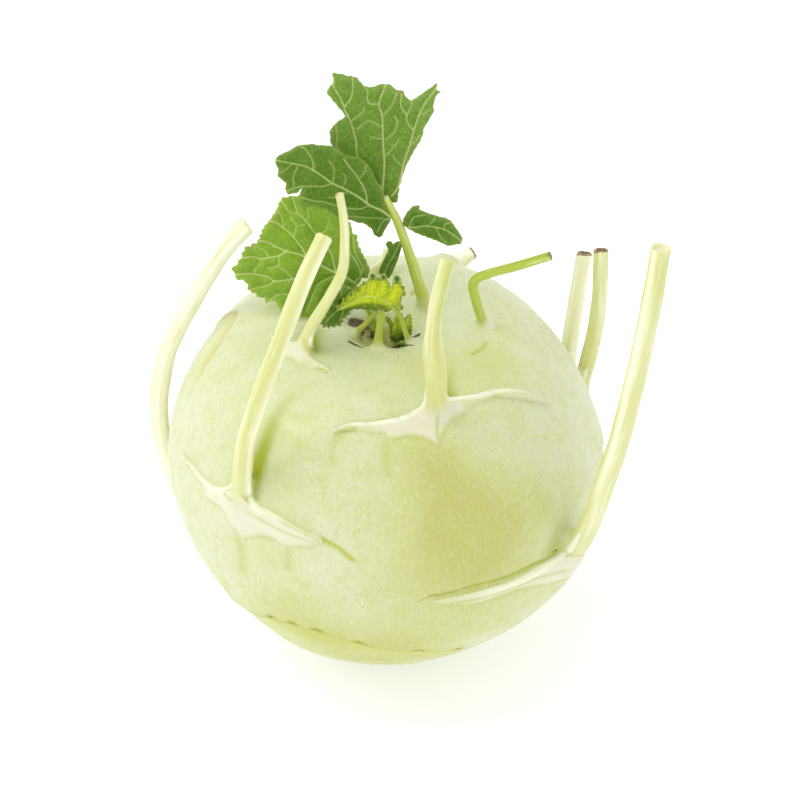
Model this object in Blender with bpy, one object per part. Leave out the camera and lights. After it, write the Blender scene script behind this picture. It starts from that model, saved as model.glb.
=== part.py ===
"""Kohlrabi with its trimmed leaf stalks and the leaves left in its crown.

Frame: the origin is the centre of the flat root cut, +Z is up and the front faces -Y.
Lengths here are in millimetres, and MM turns them into metres where a mesh is made.
"""

import math

import bmesh
import bpy
import numpy as np
from mathutils.geometry import delaunay_2d_cdt

MM = 0.001
GAP = 0.3  # kept between neighbours that touch in the plant

# The bulb's outline, as (radius, height) from the root cut up to the middle of the crown.
ROOT_CUT_RADIUS = 9.5
BULB_OUTLINE = [
    (ROOT_CUT_RADIUS, 0),
    (19, 1.8),
    (28.5, 7.5),
    (41, 20.5),
    (48.5, 35),
    (50.6, 49),
    (47.8, 63),
    (41.5, 75.5),
    (33.5, 83.5),
    (22, 87.4),
    (8, 87),
    (1.5, 85.6),
]
LEAN_X, LEAN_Y = -3.6 / 85, -4.5 / 85  # how far the bulb's sections shift per mm of height
BULB_ROWS, BULB_COLUMNS = 26, 52

# Pads that the bulb grows under its biggest leaf bases: azimuth from the front (degrees,
# towards +X), height, how far they stand out, and their half width and half height.
PADS = [
    (14, 84.0, 1.0, 16, 5),
    (-42, 63.0, 1.4, 16, 6),
    (46, 45.0, 1.6, 20, 6),
    (-18, 32.0, 0.8, 30, 4),
]

# Leaf stalks. Each route starts on the bulb's surface, and each pair of radii is foot, tip.
FOOT_DEPTH = 4  # how far a stalk is drawn into the bulb before it is trimmed to it
STALKS = {
    "stalk_left": dict(
        route=[(-47.9, 4.9, 31), (-51.9, 6, 31.5), (-54.2, 8, 37), (-55.5, 9.5, 44.5), (-55.5, 10, 55.5),
               (-52.5, 9.5, 72), (-49.3, 9, 82), (-43, 7, 97.5), (-38, 6, 104.5), (-33.8, 5, 109.4)],
        radii=(2.5, 2.1), flare=0.5, tone="stalk_cream"),
    "stalk_front_left": dict(
        route=[(-33.7, -38.9, 65.1), (-31.2, -41, 81.3), (-28.5, -44, 97.8), (-24, -45, 116.2),
               (-18.9, -44, 131.3), (-14.5, -42, 141.2)],
        radii=(2.7, 1.9), flare=0.8, tone="stalk_pale"),
    "stalk_inner_left": dict(
        route=[(-20.8, -12.8, 87.7), (-18.3, -12.5, 94.5), (-14.4, -13, 103.2), (-11.6, -13, 111.2),
               (-11.1, -12, 118.1), (-12.2, -9, 128)],
        radii=(1.5, 1.1), flare=1.2, tone="stalk_green"),
    "stalk_front": dict(
        route=[(8.7, -31.4, 85.5), (8.9, -34, 96.6), (8.3, -35.5, 108.8), (8.9, -35, 119.2),
               (10.2, -33, 127.2)],
        radii=(2.2, 1.6), flare=1.2, tone="stalk_pale"),
    "stalk_bent_right": dict(
        route=[(19.8, -2.3, 87.2), (18.6, -3, 93.4), (17.8, -3, 98), (19.2, -3.2, 101.3), (24.4, -4, 104.5),
               (34.1, -7, 110)],
        radii=(1.35, 1.1), flare=0.6, tone="stalk_green"),
    "stalk_back_right_outer": dict(
        route=[(44.4, 14.8, 50), (45.4, 19, 54.5), (46, 21, 58), (47.1, 22.5, 66.4), (47.7, 23, 76.4),
               (47.4, 22, 90.2)],
        radii=(2.1, 1.8), flare=0.5, tone="stalk_green"),
    "stalk_back_right_inner": dict(
        route=[(39.4, 25, 50), (41, 28.6, 52), (41.7, 30.5, 56.8), (42.9, 31.5, 68.4), (44.3, 31, 82.6)],
        radii=(2.2, 2.0), flare=0.5, tone="stalk_cream"),
    "stalk_right": dict(
        route=[(37.2, -34.5, 46.1), (43.3, -36, 62.6), (47.4, -39, 81), (50.1, -41, 96.7),
               (52.1, -42, 113.9), (53.8, -42, 127.2), (55.1, -41, 137.6)],
        radii=(2.9, 2.4), flare=0.8, tone="stalk_cream"),
    "stalk_back": dict(
        route=[(11.4, 33, 75.8), (13, 35.5, 75.6), (15.7, 37.5, 75.9), (18.6, 39.2, 77)],
        radii=(1.7, 1.3), flare=0.5, tone="stalk_cream"),
    "stalk_back_stub": dict(
        route=[(-4, 17.2, 87.4), (-3, 17, 89.3), (-2, 18, 90.8), (-1.7, 19.8, 92)],
        radii=(1.4, 1.1), flare=0.4, tone="stalk_cream"),
    "tall_leaf_stalk": dict(
        route=[(7, 3, 87.6), (5.7, 3.5, 92.6), (4.2, 4.3, 98.2), (2.6, 5.2, 103.5), (1.4, 6, 107.2),
               (0.4, 6.6, 110.7), (-0.9, 7, 113)],
        radii=(1.5, 0.8), flare=0.5, tone="stalk_green"),
    "side_leaf_stalk": dict(
        route=[(-6.5, -2.5, 86.4), (-7.2, -4, 91), (-8.4, -3.8, 95), (-9.8, -3.2, 97.6)],
        radii=(0.9, 0.7), flare=0.2, tone="stalk_green"),
    "young_stalk_left": dict(
        route=[(-8, -5, 86.4), (-6.5, -5.8, 89.8), (-5, -6, 92.4), (-4.6, -6, 93.8)],
        radii=(0.6, 0.5), flare=0.2, tone="stalk_green"),
    "young_stalk_middle": dict(
        route=[(-3.4, -10.5, 86.7), (-3.4, -9.3, 90.9), (-3.2, -8.6, 94.2), (-3.2, -8.3, 95.4)],
        radii=(1.0, 0.7), flare=0.5, tone="stalk_green"),
    "young_stalk_right": dict(
        route=[(2.9, -7.4, 86.9), (1.7, -8, 91.4), (0.5, -8, 94.4), (-0.8, -7.6, 95.6)],
        radii=(0.65, 0.5), flare=0.3, tone="stalk_green"),
}
STALK_SIDES = 12
RING_SPACING = 7  # along a stalk
CURVED_RING_SPACING = 2.5  # along the short stalks

BLADE_THICKNESS = 0.8

# Leaf blades: their outlines as (x, z) seen from the front. Each blade's depth along Y is a
# function of those two, below.
TERMINAL_OUTLINE = [
    (-1.4, 114.6), (0.6, 116.5), (2.4, 121.5), (4.4, 125.4), (5.9, 128.3), (7.2, 131), (8.8, 133.8),
    (9.9, 137.5), (9.2, 139.4), (5.9, 138.1), (3.3, 136.6), (1.9, 137.9), (-2, 139.3), (-4.7, 138.7),
    (-8.6, 140.6), (-13.9, 141.3), (-15.3, 137.7), (-10.9, 133), (-13.1, 131.8), (-14.7, 129.5),
    (-14.2, 126.9), (-11.6, 124), (-6, 119.5), (-3.2, 115.6),
]
LOBE_OUTLINE = [
    (-1.6, 111.2), (-2.9, 118), (-4, 122), (-6, 125), (-8.4, 127.4), (-11, 128.4), (-14.9, 131.4),
    (-18.4, 132.4), (-22.8, 132.4), (-26.3, 129.8), (-25.7, 125.7), (-24.2, 121.5), (-21.2, 120.5),
    (-21.2, 118.5), (-16.7, 116.2), (-13.6, 114.7), (-10.3, 112.2), (-7.2, 111.2), (-5.2, 108.8),
    (-3.9, 106.6), (-2.2, 108.3),
]
LEAFLET_OUTLINE = [
    (3.4, 109.4), (3.2, 112.1), (4.4, 114.1), (5.7, 113.6), (9.1, 112.4), (12, 111.5), (13.5, 109.5),
    (14.9, 107.6), (14.5, 106.3), (12, 105.4), (8.7, 106.4), (5.5, 107.1), (3.8, 107.8),
]
DARK_LEAFLET_OUTLINE = [
    (0.9, 104.2), (-0.6, 102.8), (-2.1, 98.5), (-3.2, 95.5), (-1.4, 96), (-0.2, 95.4), (0.8, 98.5),
]
SIDE_OUTLINE = [
    (-5.6, 100.6), (-7.2, 105), (-8.5, 109), (-10.3, 112.3), (-13.6, 114.6), (-17.1, 116.3),
    (-21.1, 117.8), (-25.1, 117), (-26.3, 114.3), (-29.1, 109.7), (-30.7, 105.6), (-33.2, 104),
    (-36.8, 97.9), (-35.9, 95.9), (-33.4, 95.5), (-33, 93.4), (-29.8, 92.8), (-27.1, 92), (-25.5, 90.2),
    (-20.6, 89.2), (-14.7, 89.8), (-10.4, 92.4),
]
YOUNG_OUTLINE = [
    (-13.6, 94.6), (-12.6, 96.3), (-10.3, 98.7), (-8.7, 99.8), (-7.2, 100.8), (-5.8, 101.7),
    (-4.9, 102.7), (-2.7, 102.7), (-1.6, 101.6), (0.4, 101.5), (1.6, 101), (2.2, 99.9), (1.9, 98.3),
    (0.6, 96.7), (-1.8, 97.2), (-4, 97.6), (-6.5, 96.8), (-9.4, 95.6), (-12, 94.4),
]
YOUNG_DARK_OUTLINE = [
    (-16.4, 92.9), (-13.4, 97.8), (-11.6, 101), (-9.9, 102.2), (-8.6, 98.5), (-8.3, 95.6),
    (-9.9, 94.2), (-12.2, 92.6), (-13.7, 91.9), (-15.1, 91.6),
]

HEART_CENTRE = (-0.7, -4.6, 90.6)
HEART_RADII = (1.2, 1.2, 2.5)

TONES = {  # base colour and roughness
    "bulb_skin": ((0.76, 0.83, 0.50), 0.45),
    "stalk_cream": ((0.82, 0.84, 0.52), 0.45),
    "stalk_pale": ((0.76, 0.83, 0.55), 0.45),
    "stalk_green": ((0.58, 0.72, 0.27), 0.45),
    "leaf_dark": ((0.10, 0.25, 0.06), 0.5),
    "leaf_green": ((0.20, 0.38, 0.07), 0.5),
    "leaf_young": ((0.42, 0.58, 0.06), 0.5),
}


def terminal_depth(x, z):
    """The tall leaf's end blade leans back, more towards its tip."""
    above = z - 116
    return 7.6 + 0.2 * above + 0.008 * above**2


def lobe_depth(x, z):
    """The tall leaf's left lobe comes forward as it leaves the stalk."""
    return 5.8 - 0.25 * (-0.5 - x) + 0.12 * (z - 111.3)


def leaflet_depth(x, z):
    return 6 - 0.25 * (x - 2.2) + 0.2 * (z - 108.7)


def dark_leaflet_depth(x, z):
    return 5 - 0.1 * (1.5 - x)


def side_depth(x, z):
    """The side leaf leans back over the bulb's left shoulder, and its left end drops behind."""
    left_drop = 0.9 * math.log(1 + math.exp((-x - 20) / 3))
    return -1 + 0.25 * (z - 98) + left_drop


def young_depth(x, z):
    """The young leaf is folded along an arched midrib, whose keel faces forward."""
    midrib = 98.4 - 0.055 * (x + 5.5) ** 2
    return -9 + 0.7 * math.sqrt((z - midrib) ** 2 + 0.25)


def young_dark_depth(x, z):
    return -6.4


def clear_scene():
    for thing in list(bpy.data.objects):
        bpy.data.objects.remove(thing, do_unlink=True)


def make_material(name):
    colour, roughness = TONES[name]
    material = bpy.data.materials.new(name)
    material.use_nodes = True
    shader = material.node_tree.nodes["Principled BSDF"]
    shader.inputs["Base Color"].default_value = (*colour, 1)
    shader.inputs["Roughness"].default_value = roughness
    shader.inputs["Metallic"].default_value = 0
    return material


def add_object(name, vertices, faces, material):
    """An object of vertices in millimetres, with its faces turned outwards."""
    mesh = bpy.data.meshes.new(name)
    mesh.from_pydata([tuple(MM * float(c) for c in v) for v in vertices], [], faces)
    shaped = bmesh.new()
    shaped.from_mesh(mesh)
    bmesh.ops.recalc_face_normals(shaped, faces=shaped.faces)
    shaped.to_mesh(mesh)
    shaped.free()
    mesh.shade_smooth()
    mesh.set_sharp_from_angle(angle=math.radians(50))
    mesh.materials.append(material)
    thing = bpy.data.objects.new(name, mesh)
    bpy.context.scene.collection.objects.link(thing)
    return thing


def smooth_route(points, count):
    """Points spread evenly along a smooth curve through the given ones."""
    points = np.array(points, float)
    ends = np.vstack([2 * points[0] - points[1], points, 2 * points[-1] - points[-2]])
    curve = []
    for before, start, end, after in zip(ends, ends[1:], ends[2:], ends[3:]):
        for t in np.linspace(0, 1, 16, endpoint=False):
            bend = (
                2 * start
                + (end - before) * t
                + (2 * before - 5 * start + 4 * end - after) * t**2
                + (3 * start - before - 3 * end + after) * t**3
            )
            curve.append(bend / 2)
    curve = np.array(curve + [points[-1]])
    steps = np.linalg.norm(np.diff(curve, axis=0), axis=1)
    travelled = np.concatenate([[0], np.cumsum(steps)])
    even = np.linspace(0, travelled[-1], count)
    return np.column_stack([np.interp(even, travelled, column) for column in curve.T])


def rings_to_faces(rings, columns):
    """Quads between the rings, and one face over each end."""
    faces = [list(range(columns))]
    for row in range(rings - 1):
        for column in range(columns):
            following = (column + 1) % columns
            low, high = row * columns, (row + 1) * columns
            faces.append([low + column, low + following, high + following, high + column])
    faces.append(list(range((rings - 1) * columns, rings * columns)))
    return faces


def pad_height(azimuth, height):
    """How far the pads under the leaf bases stand out of the turned bulb."""
    out = 0
    for centre, level, proud, half_width, half_height in PADS:
        across = (azimuth - centre + 180) % 360 - 180
        out += proud * math.exp(-((across / half_width) ** 2) - ((height - level) / half_height) ** 2)
    return out


def bulb_vertices():
    vertices = []
    for radius, height in smooth_route(BULB_OUTLINE, BULB_ROWS):
        for column in range(BULB_COLUMNS):
            azimuth = 360 * column / BULB_COLUMNS
            turn = math.radians(azimuth)
            out = radius + pad_height(azimuth, height)
            x = LEAN_X * height + out * math.sin(turn)
            y = LEAN_Y * height - out * math.cos(turn)
            vertices.append((x, y, max(height, 0)))
    return vertices


def make_bulb(material):
    faces = rings_to_faces(BULB_ROWS, BULB_COLUMNS)
    return add_object("bulb", bulb_vertices(), faces, material)


def make_bulb_cutter(bulb):
    """The bulb grown by the gap, which trims what meets it."""
    mesh = bulb.data.copy()
    normals = [vertex.normal.copy() for vertex in mesh.vertices]
    for vertex, normal in zip(mesh.vertices, normals):
        vertex.co += GAP * MM * normal
    cutter = bpy.data.objects.new("bulb_cutter", mesh)
    bpy.context.scene.collection.objects.link(cutter)
    cutter.hide_render = True
    cutter.display_type = "WIRE"
    return cutter


def trim(thing, cutter):
    modifier = thing.modifiers.new("trim_to_" + cutter.name, "BOOLEAN")
    modifier.operation = "DIFFERENCE"
    modifier.solver = "EXACT"
    modifier.object = cutter


def tube_vertices(centres, radii, sides):
    """Rings round the centres, turned from one to the next without twist."""
    centres = np.array(centres)
    tangents = np.gradient(centres, axis=0)
    tangents /= np.linalg.norm(tangents, axis=1)[:, None]
    across = np.cross(tangents[0], (0, 1, 0))
    vertices = []
    for centre, tangent, radius in zip(centres, tangents, radii):
        across = across - tangent * across.dot(tangent)
        across /= np.linalg.norm(across)
        other = np.cross(tangent, across)
        for side in range(sides):
            turn = 2 * math.pi * side / sides
            vertices.append(centre + radius * (math.cos(turn) * across + math.sin(turn) * other))
    return vertices


def make_stalk(name, route, radii, flare, tone, cutter):
    """A tapering stalk with a flared foot, trimmed to the bulb's surface."""
    route = [np.array(point, float) for point in route]
    foot_way = (route[1] - route[0]) / np.linalg.norm(route[1] - route[0])
    route = [route[0] - FOOT_DEPTH * foot_way] + route
    length = sum(np.linalg.norm(b - a) for a, b in zip(route, route[1:]))
    spacing = RING_SPACING if length > 30 else CURVED_RING_SPACING
    rings = max(5, round(length / spacing) + 1)
    along = np.linspace(0, length, rings)
    foot, tip = radii
    from_surface = np.maximum(along - FOOT_DEPTH, 0)
    widths = foot + (tip - foot) * (from_surface / (length - FOOT_DEPTH)) ** 0.7
    widths = widths + flare * np.exp(-from_surface / (1.2 * foot))
    vertices = tube_vertices(smooth_route(route, rings), widths, STALK_SIDES)
    stalk = add_object(name, vertices, rings_to_faces(rings, STALK_SIDES), tone)
    trim(stalk, cutter)
    return stalk


def inside(point, outline):
    """Whether a point lies in the outline."""
    x, z = point
    crossings = 0
    for (x0, z0), (x1, z1) in zip(outline, outline[1:] + outline[:1]):
        if (z0 > z) != (z1 > z) and x < x0 + (z - z0) * (x1 - x0) / (z1 - z0):
            crossings += 1
    return crossings % 2 == 1


def clear_of_edge(point, outline, room):
    point = np.array(point)
    for start, end in zip(outline, outline[1:] + outline[:1]):
        start, end = np.array(start, float), np.array(end, float)
        along = np.clip((point - start).dot(end - start) / (end - start).dot(end - start), 0, 1)
        if np.linalg.norm(point - start - along * (end - start)) < room:
            return False
    return True


def make_blade(name, outline, depth, spacing, material):
    """A thin leaf blade: its outline filled with triangles, laid on its depth, then thickened."""
    lowest, highest = np.min(outline, axis=0), np.max(outline, axis=0)
    points = list(outline)
    for z in np.arange(lowest[1] + spacing / 2, highest[1], spacing):
        for x in np.arange(lowest[0] + spacing / 2, highest[0], spacing):
            if inside((x, z), outline) and clear_of_edge((x, z), outline, spacing / 2):
                points.append((float(x), float(z)))
    border = [(k, (k + 1) % len(outline)) for k in range(len(outline))]
    filled = delaunay_2d_cdt(points, border, [], 1, 1e-6)
    vertices = [(x, depth(x, z), z) for x, z in filled[0]]
    blade = add_object(name, vertices, [list(face) for face in filled[2]], material)
    thicken = blade.modifiers.new("thickness", "SOLIDIFY")
    thicken.thickness = BLADE_THICKNESS * MM
    thicken.offset = 0
    return blade


def make_heart(material):
    """The tight bud of tiny leaves between the young stalks."""
    shaped = bmesh.new()
    bmesh.ops.create_icosphere(shaped, subdivisions=2, radius=1)
    vertices = []
    for vertex in shaped.verts:
        ripple = 1 + 0.12 * math.sin(7 * vertex.co.z + 5 * vertex.co.x)
        vertices.append([c + r * ripple * v for c, r, v in zip(HEART_CENTRE, HEART_RADII, vertex.co)])
    faces = [[vertex.index for vertex in face.verts] for face in shaped.faces]
    shaped.free()
    return add_object("heart_leaves", vertices, faces, material)


def main():
    clear_scene()
    tones = {name: make_material(name) for name in TONES}
    bulb = make_bulb(tones["bulb_skin"])
    cutter = make_bulb_cutter(bulb)
    for name, parts in STALKS.items():
        make_stalk(name, parts["route"], parts["radii"], parts["flare"], tones[parts["tone"]], cutter)
    dark, green, young = tones["leaf_dark"], tones["leaf_green"], tones["leaf_young"]
    make_blade("tall_leaf_blade", TERMINAL_OUTLINE, terminal_depth, 4.5, dark)
    make_blade("tall_leaf_lobe_left", LOBE_OUTLINE, lobe_depth, 4.5, dark)
    make_blade("tall_leaf_leaflet_right", LEAFLET_OUTLINE, leaflet_depth, 3, dark)
    make_blade("tall_leaf_leaflet_dark", DARK_LEAFLET_OUTLINE, dark_leaflet_depth, 2, dark)
    make_blade("side_leaf_blade", SIDE_OUTLINE, side_depth, 4.5, green)
    make_blade("young_leaf_yellow", YOUNG_OUTLINE, young_depth, 1.6, young)
    make_blade("young_leaf_dark", YOUNG_DARK_OUTLINE, young_dark_depth, 2.5, dark)
    make_heart(young)


main()
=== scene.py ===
"""The looks of a kohlrabi: its bulb, trimmed leaf stalks and the leaves left in its crown.

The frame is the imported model's: the origin is the centre of the root cut, +Z is up and the front
faces -Y. Lengths here are in millimetres, and MM turns them into metres where a mesh is made. Only the
floor and the light, which are no part of the plant, are given in metres.
"""

import math

import bmesh
import bpy
import mathutils
import numpy as np
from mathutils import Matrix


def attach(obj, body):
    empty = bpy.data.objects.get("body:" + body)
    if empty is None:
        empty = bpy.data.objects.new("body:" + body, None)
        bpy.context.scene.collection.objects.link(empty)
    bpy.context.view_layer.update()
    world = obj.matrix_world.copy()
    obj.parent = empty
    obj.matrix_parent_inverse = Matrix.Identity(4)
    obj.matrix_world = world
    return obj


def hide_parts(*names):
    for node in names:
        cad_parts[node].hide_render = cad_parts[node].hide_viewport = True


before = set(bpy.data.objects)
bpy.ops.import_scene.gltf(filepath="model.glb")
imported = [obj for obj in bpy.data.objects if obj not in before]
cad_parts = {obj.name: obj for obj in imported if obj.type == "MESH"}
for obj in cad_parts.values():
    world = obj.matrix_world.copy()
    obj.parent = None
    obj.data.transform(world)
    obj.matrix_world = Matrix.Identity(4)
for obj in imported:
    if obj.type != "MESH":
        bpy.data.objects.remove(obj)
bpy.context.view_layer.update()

import openvdb
from mathutils.geometry import delaunay_2d_cdt

MM = 0.001
SEEN_FROM = math.radians(39)  # the camera looks down on the plant at this angle
FRONT = np.array([0, -math.cos(SEEN_FROM), math.sin(SEEN_FROM)])  # blades bulge and cuts face this way

# ---------------------------------------------------------------- the plant's dimensions

ROOT_CUT_RADIUS = 9.5
BULB_OUTLINE = [
    (ROOT_CUT_RADIUS, 0), (19, 1.8), (28.5, 7.5), (41, 20.5), (48.5, 35), (50.6, 49), (47.8, 63),
    (41.5, 75.5), (33.5, 83.5), (22, 87.4), (8, 87), (0, 85.5),
]
LEAN_X, LEAN_Y = -3.6 / 85, -4.5 / 85  # how far the bulb's sections shift per mm of height
CORE_HEIGHT = 46.0
CORE = np.array([LEAN_X * CORE_HEIGHT, LEAN_Y * CORE_HEIGHT, CORE_HEIGHT])  # the bulb is drawn round it
CROWN = np.array([-3.5, -4.0, 85.6])  # where the leaves grow

# Pads under the biggest leaf bases, and hollows between them: azimuth from the front in degrees, height,
# how far it stands out, half width in degrees, half height.
PADS = [(14, 84.0, 1.0, 16, 5), (-42, 63.0, 1.4, 16, 6), (46, 45.0, 1.6, 20, 6), (-18, 32.0, 0.8, 30, 4),
        (72, 30.0, 1.3, 16, 12), (-72, 42.0, -0.6, 22, 12), (-64, 24.0, -0.8, 14, 8),
        (-35, 12.0, 0.9, 18, 8), (33, 12.0, -0.9, 18, 8)]

# Leaf stalks. The route starts on the bulb's surface, radii are those of foot and tip, flare is the
# extra radius of the foot, green how green the stalk is, and end its cut: how much of it can be seen
# from the front and above (0 to 1), how deep the pith has sunk, and how brown it has dried. A flange
# is how far thin edges stand out on both sides of the lower half.
STALKS = {
    "stalk_left": dict(
        slot="stalk_cream", radii=(2.4, 2.2), flare=0.5, green=0.02, end=(0.1, 0.2, 0.1),
        route=[(-47.9, 4.9, 31), (-50.8, 6, 31.5), (-53.3, 8, 37), (-55.2, 9.5, 44.5), (-55.6, 11, 54),
               (-53.6, 11, 66.9), (-50.8, 10.5, 75.2), (-46.7, 9.5, 84.9), (-41.8, 8, 95.3),
               (-37.4, 6.5, 103.6), (-33, 5, 109.9)]),
    "stalk_front_left": dict(
        slot="stalk_pale", radii=(2.25, 1.75), flare=0.5, green=0.4, end=(0.05, 0.2, 0.1),
        route=[(-34.3, -38.3, 65.2), (-33.4, -40, 76.2), (-32.2, -41.8, 86.2), (-29.5, -43.6, 97.4),
               (-24, -45, 116.2), (-18.9, -44, 131.3), (-14.4, -42, 141.4)]),
    "stalk_inner_left": dict(
        slot="stalk_green", radii=(1.6, 0.95), flare=1.2, green=0.55, end=(0.6, 0.6, 0.6),
        route=[(-20.8, -12.8, 87.7), (-18.6, -12.5, 94.5), (-14.6, -13, 103), (-11.6, -13, 110.2),
               (-11, -12, 117), (-11.2, -10.5, 123), (-12.1, -9, 128.5)]),
    "stalk_front": dict(
        slot="stalk_pale", radii=(1.9, 1.5), flare=1.0, green=0.56, end=(0.2, 0.3, 0.1), flange=0.75,
        route=[(8.7, -31.4, 85.5), (8.9, -34, 96.6), (8.1, -35.5, 107.8), (8.5, -35.3, 116),
               (9.4, -34.6, 121.2), (11.1, -33, 128.3)]),
    "stalk_bent_right": dict(
        slot="stalk_green", radii=(1.2, 1.0), flare=0.4, green=1.2, end=(0.3, 0.6, 0.9),
        route=[(19.8, -2.3, 87.2), (18.4, -3, 93.4), (17.4, -3, 98.6), (18.1, -3.1, 100.7),
               (20.6, -3.4, 102.4), (27, -4.8, 105.6), (34.4, -7, 110.1)]),
    "stalk_back_right_outer": dict(
        slot="stalk_green", radii=(2.0, 1.75), flare=0.5, green=0.5, end=(0.3, 1.0, 0.9),
        route=[(42.8, 14.8, 50), (44.2, 19, 54.5), (45.3, 21, 58), (46.9, 22.5, 66.4), (47.6, 23, 76.4),
               (47.4, 22, 90.4)]),
    "stalk_back_right_inner": dict(
        slot="stalk_cream", radii=(2.1, 1.9), flare=0.5, green=0.08, end=(0.3, 1.0, 0.8),
        route=[(39.4, 25, 50), (41, 28.6, 52), (41.7, 30.5, 56.8), (42.9, 31.5, 68.4), (44.3, 31, 82.8)]),
    "stalk_right": dict(
        slot="stalk_cream", radii=(2.6, 2.15), flare=1.3, green=0.36, end=(1.0, 0.5, 0.25),
        route=[(39.1, -32.4, 44.6), (41.8, -34.5, 51.5), (44, -35.3, 58.7), (46.3, -37.2, 70.9),
               (48.8, -39.5, 84.3), (51.4, -41, 102.2), (53.4, -42, 119.2), (54.4, -42, 128.5),
               (55.3, -41, 137.4)]),
    "stalk_back": dict(
        slot="stalk_cream", radii=(2.8, 1.5), flare=1.6, green=0, end=(0, 0.5, 1),
        route=[(11.4, 33, 75.8), (13, 35.5, 75.6), (15.7, 37.5, 75.9), (18.6, 39.2, 77)]),
    "stalk_back_stub": dict(
        slot="stalk_cream", radii=(1.4, 1.1), flare=0.4, green=0.3, end=(0.4, 0.4, 0.6),
        route=[(-4, 17.2, 87.4), (-3, 17, 89.3), (-2, 18, 90.8), (-1.7, 19.8, 92)]),
    "tall_leaf_stalk": dict(
        slot="stalk_green", radii=(1.65, 0.85), flare=0.5, green=1.0, end=(1, 0, 0),
        route=[(7, 3, 87.6), (5.7, 3.5, 92.6), (4.2, 4.3, 98.2), (2.6, 5.2, 103.5), (1.4, 5.8, 107.2),
               (0.3, 6.2, 110.4), (-0.9, 6.5, 113), (-2.2, 6.7, 116)]),
    "side_leaf_stalk": dict(
        slot="stalk_green", radii=(0.8, 0.55), flare=0.2, green=1.3, end=(1, 0, 0),
        route=[(-4.6, -3.4, 86.2), (-5, -4.2, 90), (-7, -4, 94.2), (-9.8, -3.2, 97.6)]),
    "young_stalk_left": dict(
        slot="stalk_green", radii=(0.75, 0.55), flare=0.4, green=1.15, end=(1, 0, 0),
        route=[(-8.4, -4, 86.5), (-7.7, -4.4, 87.9), (-6.5, -5, 89.7), (-4.9, -5.8, 92.7), (-4, -6.3, 94.5)]),
    "young_stalk_middle": dict(
        slot="stalk_green", radii=(0.95, 0.75), flare=0.9, green=1.3, end=(1, 0, 0),
        route=[(-4, -10.5, 86.7), (-3.6, -9.3, 90.9), (-3.2, -8.6, 94.2), (-3.2, -8.3, 96)]),
    "young_stalk_right": dict(
        slot="stalk_green", radii=(0.7, 0.6), flare=0.5, green=1.4, end=(1, 0, 0),
        route=[(3.1, -8.3, 87), (2.4, -8.3, 89.3), (1.8, -8.2, 91.5), (0.8, -8.2, 94.8), (-0.7, -8, 97),
               (-2.4, -7.8, 97.6)]),
}
SHORT_WING = 5.0  # a leaf base that is pale for less than this on a side has no raised edge there
FOOT_DEPTH = 4.0  # how far a stalk runs on inside the bulb

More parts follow.
